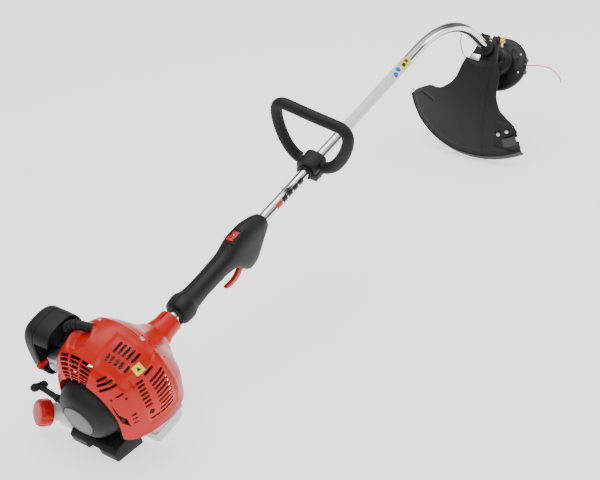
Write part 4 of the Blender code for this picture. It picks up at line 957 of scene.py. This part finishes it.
cap_rows = []
cap_x, cap_y, cap_z = basis(CAP_AXIS)
for radius, height in ((6, 12.2), (14, 12.0), (19.5, 11.6), (21.6, 10.8), (23.2, 8.8), (23.9, 5), (24, -8.4),
                       (23.2, -10), (17.4, -10), (17.2, -8), (17.0, 4.6), (8, 4.6)):
    ring = []
    for i in range(120):
        turn = math.tau * i / 120
        lobes = 1.4 * (abs(math.cos(5.0 * turn)) ** 0.7 - 1.0) * min(max((radius - 17.5) / 4.0, 0.0), 1.0)
        reach = radius + lobes
        ring.append(CAP_CENTRE + cap_x * (reach * math.cos(turn)) + cap_y * (reach * math.sin(turn))
                    + cap_z * height)
    cap_rows.append(ring)
cap = grid_piece("filler_cap", cap_rows, RED, closed=True, caps=True, crease=40.0)
fit(cap, "fuel_cap", "red_plastic", "fuel_cap")
seal = spun("cap_seal_ring", [(16, 4.5), (16, 2.5), (11, 2.5), (11, 4.5)], CAP_CENTRE, CAP_AXIS, RUBBER)
fit(seal, "fuel_cap", "black_rubber", "fuel_cap_seal")
fuel_hose = bar("fuel_hose", [(-1046, 69.5, z) for z in (-43, -30, -10, 10, 27.4)], 2.2, 20, RUBBER)
fit(fuel_hose, "trimmer", "black_rubber", "fuel_line")

# ------------------------------------------------------------ air cleaner, carburettor and controls
# A deep black cap over the foam filter on the left, open low at the rear where
# the grey carburettor, the red choke knob and the purge bulb are reached.
CAST = material("cast_aluminium", (0.52, 0.53, 0.54), 0.5, metal=1.0, grain=0.7, grain_scale=1300.0,
                uneven=0.25, dust=0.0, soften=0.0004)
FOAM = material("filter_foam", (0.05, 0.05, 0.05), 0.95, grain=1.0, grain_scale=700.0, uneven=0.5)


def cleaner_ring(y, inset, centre=(-1044.0, 60.0), size=(44.0, 58.0), steps=84):
    ring = []
    for i in range(steps):
        turn = math.tau * i / steps
        c, s = math.cos(turn), math.sin(turn)
        ring.append((centre[0] + (size[0] - inset) * math.copysign(abs(c) ** 0.62, c), y,
                     centre[1] + (size[1] - inset) * math.copysign(abs(s) ** 0.62, s)))
    return ring


shell_rows = [cleaner_ring(y, inset) for y, inset in
              ((72, 3.2), (72, 1), (78, 0.6), (100, 0), (104, 0), (104.4, 0.9), (106, 0.9), (106.4, 0),
               (118, 0), (124, 1.4), (129, 4.6), (132, 8.4), (133.6, 12.6), (134, 17), (134, 30),
               (134, 42), (131, 42), (131, 20), (127.5, 7.5), (119, 3.4), (100, 3.2))]
CENTRE_ROW = 15
cap_centre = {(CENTRE_ROW, j) for j in range(len(shell_rows[0]))}
cleaner = grid_piece("cleaner_cap", shell_rows + [shell_rows[0]], BLACK, closed=True, holes=cap_centre)
cleaner_faces = bmesh.new()
cleaner_faces.from_mesh(cleaner.data)
bmesh.ops.remove_doubles(cleaner_faces, verts=cleaner_faces.verts, dist=0.00001)
bmesh.ops.holes_fill(cleaner_faces, edges=[e for e in cleaner_faces.edges if e.is_boundary], sides=0)
bmesh.ops.recalc_face_normals(cleaner_faces, faces=cleaner_faces.faces)
cleaner_faces.to_mesh(cleaner.data)
cleaner_faces.free()
cut(cleaner, [block("control_opening", (-1100, 60, -10), (-1050, 103, 96), BLACK, 2.0),
              block("intake_opening", (-1100, 60, 20), (-980, 80, 85), BLACK, 2.0)])
cleaner.data.set_sharp_from_angle(angle=math.radians(28))
fit(cleaner, "air_filter_cover", "black_plastic", "air_filter_cover")
base_rows = [cleaner_ring(y, 4) for y in (105, 106, 108, 109)]
base_plate = grid_piece("filter_base", base_rows, BLACK, closed=True, caps=True)
fit(base_plate, "trimmer", "black_plastic", "air_filter_base")
foam_rows = [cleaner_ring(y, inset) for y, inset in ((109.5, 11), (111, 10), (122.5, 10), (124, 11))]
foam = grid_piece("filter_pad", foam_rows, FOAM, closed=True, caps=True)
fit(foam, "trimmer", "filter_foam", "air_filter")

intake = block("intake_elbow", (-1058, 34, 36), (-1008, 67, 62), BLACK, 4.0)
fit(intake, "trimmer", "black_plastic", "intake_block")
carb_body = block("carb_body", (-1080, 68, 28), (-1042, 94, 62), CAST, 3.5)
carb_boss = spun("carb_boss", [(0, 94.2), (12, 94.2), (13.5, 92), (13.5, 80), (0, 80)], (-1056, 0, 47), Y_AXIS,
                 CAST, 40)
carb_bowl = spun("carb_bowl", [(0, -2), (8, -2), (9.5, 0), (9.5, 10), (0, 10)], (-1081, 80, 45), X_AXIS,
                 CAST, 40)
BRASS = material("brass_fitting", (0.55, 0.42, 0.10), 0.3, metal=1.0, grain=0.1, uneven=0.2, soften=0.0002)
fitting = slab("brass_fitting", hexagon(8), 7.0, (-1078, 74, 29), (-1, 0, -0.3), BRASS, 0.5)
carb = joined("carb", [carb_body, carb_boss, carb_bowl, fitting])
fit(carb, "trimmer", "cast_aluminium", "carburettor")
lever = slab("butterfly_lever", [(-6, -7), (6, -7), (6, 7), (16, 3), (16, -3), (0, -8)], 3.0, (-1064, 80, 66.5),
             Z_AXIS, BLACK, 0.6, Y_AXIS)
fit(lever, "throttle_lever", "black_plastic", "carb_throttle_lever")
bulb_profile = [(0, 27.4), (9, 27.4), (9, 25.4), (7.6, 24.4), (7.3, 21), (6, 18.4), (3.4, 16.6), (0, 16.1)]
bulb = spun("purge_dome", bulb_profile, (-1064, 80, 0), Z_AXIS, TANK, 40)
fit(bulb, "trimmer", "tank_plastic", "purge_bulb")
choke = slab("choke_arm", [(6, -4), (6, 4), (-10, 4.5), (-18, 7.4), (-24, 9.2), (-28, 8.6), (-29, 3), (-24, 0),
                           (-10, -3)], 4.0, (-1070, 97, 49), (0, -1, 0), RED, 1.0)
knob_profile = [(0, 4.6), (4.4, 4.2), (6, 2.4), (6, -2.4), (4.4, -4.2), (0, -4.6)]
knob = spun("choke_knob", knob_profile, (-1094, 97, 53.5), (0.1, 1, 0), RED, 32)
fit(joined("choke_control", [choke, knob]), "choke_lever", "red_plastic", "choke_lever")

boot_route = [(-1020, 10.5, 108), (-1026, 26, 113), (-1032, 42, 118), (-1036, 56, 114), (-1038, 66, 104)]
boot_run = spline(boot_route, 24)
boot = bar("plug_boot", boot_run, 8.0, 32, RUBBER)
boot_rings = [bar("boot_ring", [boot_run[k], boot_run[k + 1]], 9.0, 32, RUBBER) for k in (12, 15, 18, 21)]
fit(joined("plug_boot_body", [boot] + boot_rings), "trimmer", "black_rubber", "spark_plug_boot")
cable_route = [(-870.5, 8, -15), (-884, 24, -14), (-905, 38, -6), (-935, 52, 10), (-965, 62, 34),
               (-995, 72, 58), (-1020, 79, 72), (-1045, 84, 73)]
cable = bar("throttle_wire", spline(cable_route, 60), 2.5, 20, RUBBER)
fit(cable, "trimmer", "black_rubber", "throttle_cable")

# ------------------------------------------------------------ engine inside the cover
# What shows through the slots and from below: the finned cylinder cast in
# aluminium, the crankcase, the pressed-steel muffler, the coil and the fan.
STEEL = material("plain_steel", (0.42, 0.42, 0.43), 0.38, metal=1.0, grain=0.3, uneven=0.3, dust=0.0,
                 soften=0.0003)


def fin_group():
    """Geometry nodes: flat plates stacked up one axis as instances and made real."""
    group = bpy.data.node_groups.new("stacked_fins", "GeometryNodeTree")
    io = group.interface
    io.new_socket("Geometry", in_out="INPUT", socket_type="NodeSocketGeometry")
    io.new_socket("Count", in_out="INPUT", socket_type="NodeSocketInt").default_value = 6
    io.new_socket("Step", in_out="INPUT", socket_type="NodeSocketVector")
    io.new_socket("Material", in_out="INPUT", socket_type="NodeSocketMaterial")
    io.new_socket("Geometry", in_out="OUTPUT", socket_type="NodeSocketGeometry")
    nodes, link = group.nodes, group.links.new
    start, end = nodes.new("NodeGroupInput"), nodes.new("NodeGroupOutput")
    line = nodes.new("GeometryNodeMeshLine")
    place = nodes.new("GeometryNodeInstanceOnPoints")
    real = nodes.new("GeometryNodeRealizeInstances")
    paint = nodes.new("GeometryNodeSetMaterial")
    link(start.outputs["Count"], line.inputs["Count"])
    link(start.outputs["Step"], line.inputs["Offset"])
    link(line.outputs["Mesh"], place.inputs["Points"])
    link(start.outputs["Geometry"], place.inputs["Instance"])
    link(place.outputs["Instances"], real.inputs["Geometry"])
    link(real.outputs["Geometry"], paint.inputs["Geometry"])
    link(start.outputs["Material"], paint.inputs["Material"])
    link(paint.outputs["Geometry"], end.inputs["Geometry"])
    return group


STACK = fin_group()
barrel = spun("barrel", [(17.5, 34), (24, 34), (24, 36), (22, 37), (22, 93), (12, 96), (12, 100), (5.4, 100),
                         (5.4, 88), (17.5, 84)], (-1016, 0, 0), Z_AXIS, CAST, 40)
FIN_R = 33.0
FIN_STEP = 0.0071
fin_turns = [math.tau * i / 40 for i in range(40)]
fin_outline = [(FIN_R * math.copysign(abs(math.cos(t)) ** 0.6, math.cos(t)),
                FIN_R * math.copysign(abs(math.sin(t)) ** 0.6, math.sin(t))) for t in fin_turns]
fin = slab("fin", fin_outline, 1.6, (-1016, 0, 44), Z_AXIS, CAST, 0.4)
fins = grow(fin, STACK, Count=7, Step=TURN @ Z_AXIS * FIN_STEP, Material=CAST)
fit(joined("finned_cylinder", [barrel, fins]), "trimmer", "cast_aluminium", "cylinder")

DARK_STEEL = material("heat_blackened_steel", (0.03, 0.028, 0.027), 0.55, metal=0.6, grain=0.5, uneven=0.5,
                      dust=0.1, soften=0.0003)
can = block("muffler_can", (-1042, -84, -26), (-992, -40, 36), DARK_STEEL, 7.0)
seam = block("muffler_seam", (-1043, -63, -27), (-991, -60.5, 37), DARK_STEEL, 0.8)
outlet = spun("outlet", [(5, 0), (5, 4), (3.6, 4), (3.6, 0)], (-1004, -84, 20), (0, -1, 0), DARK_STEEL, 24)
fit(joined("muffler_body", [can, seam, outlet]), "trimmer", "plated_steel", "muffler")

for node, finish in (("flywheel", CAST), ("crankcase", CAST), ("piston", CAST), ("crankshaft", STEEL),
                     ("clutch_shoes", STEEL), ("clutch_drum", STEEL), ("connecting_rod", STEEL),
                     ("spark_plug", BRIGHT_STEEL), ("drive_cable", STEEL), ("head_arbor", STEEL),
                     ("starter_pulley", BLACK), ("ignition_coil", BLACK)):
    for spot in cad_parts[node].material_slots:
        spot.material = finish

# ------------------------------------------------------------ debris shield, line knife and screws
# Injection-moulded fan in matt dark grey-black with a skirt round its rim.  A
# crease runs from the neck to the rim, a second one crosses the left tip, and
# a pocket at the right carries the small steel line knife on two screws.
SHIELD = material("shield_plastic", (0.006, 0.006, 0.007), 0.5, grain=0.3, grain_scale=1200.0, uneven=0.25,
                  dust=0.03, soften=0.0008)
SHIELD_NECK_R, SHIELD_RIM_R = 50.0, 240.0
SHIELD_WALL = 3.0
# Each row holds the right edge's angle and radius, then the left edge's.
SHIELD_EDGE_KEYS = ((-56, 50, 52, 50), (-31.5, 101, 37, 96), (-27.5, 140, 41, 138), (-31, 165, 47, 158),
                    (-34.5, 186, 53.5, 175), (-34.5, 210, 58, 212), (-33, 240, 59, 240))


def shield_point(angle, radius, lift=0.0):
    """Point of the outer face by its angle from the back towards the left."""
    fall = max(radius - SHIELD_NECK_R, 0.0) / (SHIELD_RIM_R - SHIELD_NECK_R)
    along = 70.4 + 111.0 * fall - 10.0 * math.sin(math.pi * fall)
    turn = math.radians(angle)
    return head(radius * math.sin(turn), radius * math.cos(turn), along - lift)


def fold(distance, width, height):
    return height * math.exp(-(distance / width) ** 2)


def away(point, start, end):
    """Distance of a flat point from the stretch between two others."""
    run = end - start
    share = min(max((point - start).dot(run) / run.length_squared, 0.0), 1.0)
    return (point - start - run * share).length


TIP_FOLDS = (Vector((210, 131)), Vector((166, 117)), Vector((119, 137)))


def shield_lift(y, back):
    """Height of the creases, the rim band and the pocket above the plain fan."""
    radius = math.hypot(y, back)
    crease = y - (-28.0 - 9.0 * ease(55, SHIELD_RIM_R, back))
    lift = fold(crease, 2.6, -3.0) + 2.0 * ease(-4, 2, crease) - 2.0
    here = Vector((y, back))
    tip = min(away(here, start, end) for start, end in zip(TIP_FOLDS, TIP_FOLDS[1:]))
    lift += fold(tip, 2.2, -2.2)
    lift -= 1.8 * ease(225, 229, radius) * (1.0 - ease(236, 239, radius))
    pocket = window(y, -114, -64, 3) * window(back, 154, 208, 3)
    return lift - 3.6 * pocket


def shield_edge(first, steps):
    """Smooth run of (angle, radius) along one side edge; first is its column in the keys."""
    return spline([(keys[first], keys[first + 1], 0) for keys in SHIELD_EDGE_KEYS], steps)


def shield_rows():
    """The fan from its neck to the rim, then the skirt straight down the head axis."""
    rows_count, columns = 140, 176
    right, left = shield_edge(0, rows_count), shield_edge(2, rows_count)
    rows = []
    for i in range(rows_count + 1):
        dip = (1.0 - i / rows_count) ** 3 * 20.0
        row = []
        for j in range(columns + 1):
            t = j / columns
            angle = right[i].x + (left[i].x - right[i].x) * t
            radius = right[i].y + (left[i].y - right[i].y) * t - dip * (1.0 - (2.0 * t - 1.0) ** 2)
            turn = math.radians(angle)
            lift = shield_lift(radius * math.sin(turn), radius * math.cos(turn))
            row.append(shield_point(angle, radius, lift))
        rows.append(row)
    for drop in (1.5, 6, 12, 18, 25):
        rows.append([point + HEAD_AXIS * drop for point in rows[rows_count]])
    return rows


fan = grid_piece("shield_fan", shield_rows(), SHIELD, crease=50.0)
if sum(face.normal.dot(TURN @ HEAD_AXIS) for face in fan.data.polygons) > 0:
    fan.data.flip_normals()
thicken(fan, SHIELD_WALL)
fan.data.set_sharp_from_angle(angle=math.radians(50))
along_rim = shield_point(-33, SHIELD_RIM_R) - shield_point(-10, SHIELD_RIM_R)
notch_place = shield_point(-34.5, 214) + HEAD_AXIS * 10
cut(fan, [slab("corner_notch", [(-7, -5), (5, -5), (5, 5), (-7, 5)], 80.0, notch_place, HEAD_AXIS, SHIELD, 1.0,
               along_rim)])
rails = []
for name, first, inward, last in (("side_rail", 2, -1, 61), ("far_rail", 0, 1, 50)):
    run = [shield_point(p.x + inward, p.y) + HEAD_AXIS * 4 for p in shield_edge(first, 60)[4:last]]
    rails.append(bar(name, run, 2.0, 12, SHIELD))
fit(joined("debris_shield", [fan] + rails), "trimmer", "black_plastic", "shield")

knife_rows = []
for i in range(7):
    radius = 207.0 + 18.0 * i / 6
    knife_rows.append([shield_point(-33.0 + 9.0 * j / 12, radius, 1.6) for j in range(13)])
KNIFE = material("dull_knife_steel", (0.035, 0.035, 0.037), 0.5, metal=0.3, grain=0.2, uneven=0.2,
                 soften=0.0003)
knife = thicken(grid_piece("knife_sheet", knife_rows, KNIFE), 1.4)
fit(knife, "trimmer", "plated_steel", "cutoff_knife")
for number, (y, back) in enumerate(((-74, 181), (-93, 170)), 1):
    angle = math.degrees(math.atan2(y, back))
    radius = math.hypot(y, back)
    outer, across = shield_point(angle, radius + 4), shield_point(angle + 2, radius)
    here = shield_point(angle, radius)
    normal = (outer - here).cross(across - here).normalized()
    if normal.dot(HEAD_AXIS) > 0:
        normal = -normal
    screw = cross_screw("knife_screw_head_%d" % number, here + normal * 1.2, normal, 4.6)
    fit(screw, "trimmer", "plated_steel", "knife_screw_%d" % number)

# ------------------------------------------------------------ bearing housing, bracket, bolt and wing nut
# The housing at the tube's end and the split clamp that carries the shield are
# black mouldings.  A yellow-plated bolt and wing nut close the clamp, and a
# bright plate backs the shield's neck.
housing = spun("housing", [(20, -66), (20, -68), (19.2, -70), (19.2, -96), (20, -98), (20, -112), (18.6, -118),
                           (17, -127), (8, -127), (8, -108.5), (13.3, -108.5), (13.3, -92), (11.4, -90),
                           (11.4, -66)], BEND_END, -HEAD_AXIS, BLACK, 56)
fit(housing, "trimmer", "black_plastic", "bearing_housing")
clamp_outline = [(-36, -24), (-36, 24), (-14, 26), (6, 30), (36, 38), (40, 30), (40, -30), (36, -38), (6, -30),
                 (-14, -26)]
CLAMP_CENTRE = head(0, 0, 82.5)
BOLT_LINE = head(0, -28, 82.5)
BOLT_BORE = 3.1
bracket = slab("bracket", clamp_outline, 11.0, CLAMP_CENTRE, -HEAD_AXIS, BLACK, 1.6, HEAD_BACK)
cut(bracket, [drill(20.2, 30, CLAMP_CENTRE, HEAD_AXIS, 56),
              slab("slit", [(-10, -5.5), (25, -5.5), (25, 5.5), (-10, 5.5)], 40.0, head(0, -42, 82.5),
                   -HEAD_AXIS, BLACK, 0.0, HEAD_BACK),
              drill(BOLT_BORE, 60, BOLT_LINE, Y_AXIS, 24)])
ears = []
for side in (-1, 1):
    ear = slab("ear", plain(8, 2.6), 15.0, head(side * 22, -28, 77), -HEAD_AXIS, BLACK, 1.2, HEAD_BACK)
    ears.append(cut(ear, [drill(BOLT_BORE, 60, BOLT_LINE, Y_AXIS, 24)]))
fit(joined("shield_clamp", [bracket] + ears), "trimmer", "black_plastic", "shield_bracket")

THREAD_TOP, THREAD_PITCH, THREAD_TURNS = 14.0, 1.5, 34
bolt_profile = [(0, 26.6), (2.9, 26.6)]
for i in range(THREAD_TURNS):
    turn_top = THREAD_TOP - THREAD_PITCH * i
    bolt_profile += [(2.95, turn_top - 0.2), (2.55, turn_top - 0.95)]
bolt_profile += [(2.2, -37.0), (0, -37.0)]
bolt_shank = spun("bolt_shank", bolt_profile, BOLT_LINE, Y_AXIS, GOLD, 20, 60.0)
bolt_hex = slab("bolt_hex", hexagon(9.4), 3.6, BOLT_LINE + Y_AXIS * 28.2, Y_AXIS, GOLD, 0.5)
fit(joined("clamp_screw", [bolt_shank, bolt_hex]), "trimmer", "yellow_zinc", "clamp_bolt")
nut_hub = spun("nut_hub", [(6.2, -26.5), (6.2, -28), (5.4, -33.6), (3.2, -34), (3.2, -26.5)], BOLT_LINE, Y_AXIS,
               GOLD, 32)
wings = []
for side in (-1, 1):
    wings.append(slab("wing", [(side * 4.0, -26.8), (side * 10, -28), (side * 15.2, -32), (side * 15.4, -36),
                               (side * 12.4, -37), (side * 8.4, -35), (side * 4.2, -33.6)], 2.6, BOLT_LINE,
                      HEAD_AXIS, GOLD, 1.0, HEAD_BACK))
fit(joined("wing_nut_body", [nut_hub] + wings), "wing_nut", "yellow_zinc", "wing_nut")
plate = slab("neck_plate", plain(7.5, 13), 2.4, head(17, 28, 67.8), -HEAD_AXIS, BRIGHT_STEEL, 0.7, HEAD_BACK)
fit(plate, "trimmer", "plated_steel", "shield_plate")

# ------------------------------------------------------------ line head and its hub
# Two black mouldings: a stepped hub, and a disc with a ring of ten shallow
# windows, four bright rivets and an ear on each side of either line exit.
HEAD_PLASTIC = material("line_head_plastic", (0.006, 0.006, 0.007), 0.42, grain=0.25, grain_scale=1200.0,
                        uneven=0.25, dust=0.02, soften=0.0006)
hub = spun("hub", [(0, 131.5), (21, 131.5), (22.4, 133), (22.4, 139), (24, 141), (24, 150), (30, 152),
                   (35.5, 156.5), (37, 160), (38, 174), (38, 176), (0, 176)], BEND_END, HEAD_AXIS,
           HEAD_PLASTIC, 72)
fit(hub, "cutting_head", "black_plastic", "head_hub")
disc = spun("disc", [(0, 176.5), (52, 176.5), (56, 177.4), (62, 178), (66.4, 180), (68.2, 183), (68.5, 185),
                     (68.5, 190.6), (67, 194), (62, 198), (50, 199.4), (30, 201), (20, 201), (18, 199.6),
                     (0, 199.6)], BEND_END, HEAD_AXIS, HEAD_PLASTIC, 112)
DISC_TOP = 176.5
exit_angle = math.radians(11.0)


def spoke(turn):
    """Direction across the head, turned from the left towards the back."""
    return Y_AXIS * math.cos(turn) + HEAD_BACK * math.sin(turn)


head_tools = [drill(5, 20, BEND_END + HEAD_AXIS * LINE_HEIGHT + spoke(exit_angle) * 70 * side, HEAD_AXIS, 32)
              for side in (-1.0, 1.0)]
for i in range(10):
    out = spoke(math.tau * (i + 0.5) / 10)
    head_tools.append(slab("window", plain(4, 6), 3.0, BEND_END + HEAD_AXIS * DISC_TOP + out * 46, HEAD_AXIS,
                           HEAD_PLASTIC, 0.0, out))
cut(disc, head_tools)
for finish in (SHIELD, HEAD_PLASTIC):
    finish.node_tree.nodes["Principled BSDF"].inputs["Specular IOR Level"].default_value = 0.3
extras = []
for side in (-1.0, 1.0):
    for swing in (-14.0, 14.0):
        out = spoke(exit_angle + math.radians(swing)) * side
        extras.append(spun("ear", [(0, 178.5), (5.6, 178.5), (6.6, 179.6), (6.6, 196), (5.6, 197), (0, 197)],
                           BEND_END + out * 63.6, HEAD_AXIS, HEAD_PLASTIC, 28))
    for swing in (-24.0, 24.0):
        out = spoke(exit_angle + math.radians(swing)) * side
        extras.append(spun("rivet", [(0, 175.4), (1.6, 175.6), (2.6, 176.2), (2.6, 178), (0, 178)],
                           BEND_END + out * 57, HEAD_AXIS, BRIGHT_STEEL, 20))
fit(joined("line_head", [disc] + extras), "cutting_head", "black_plastic", "trimmer_head")
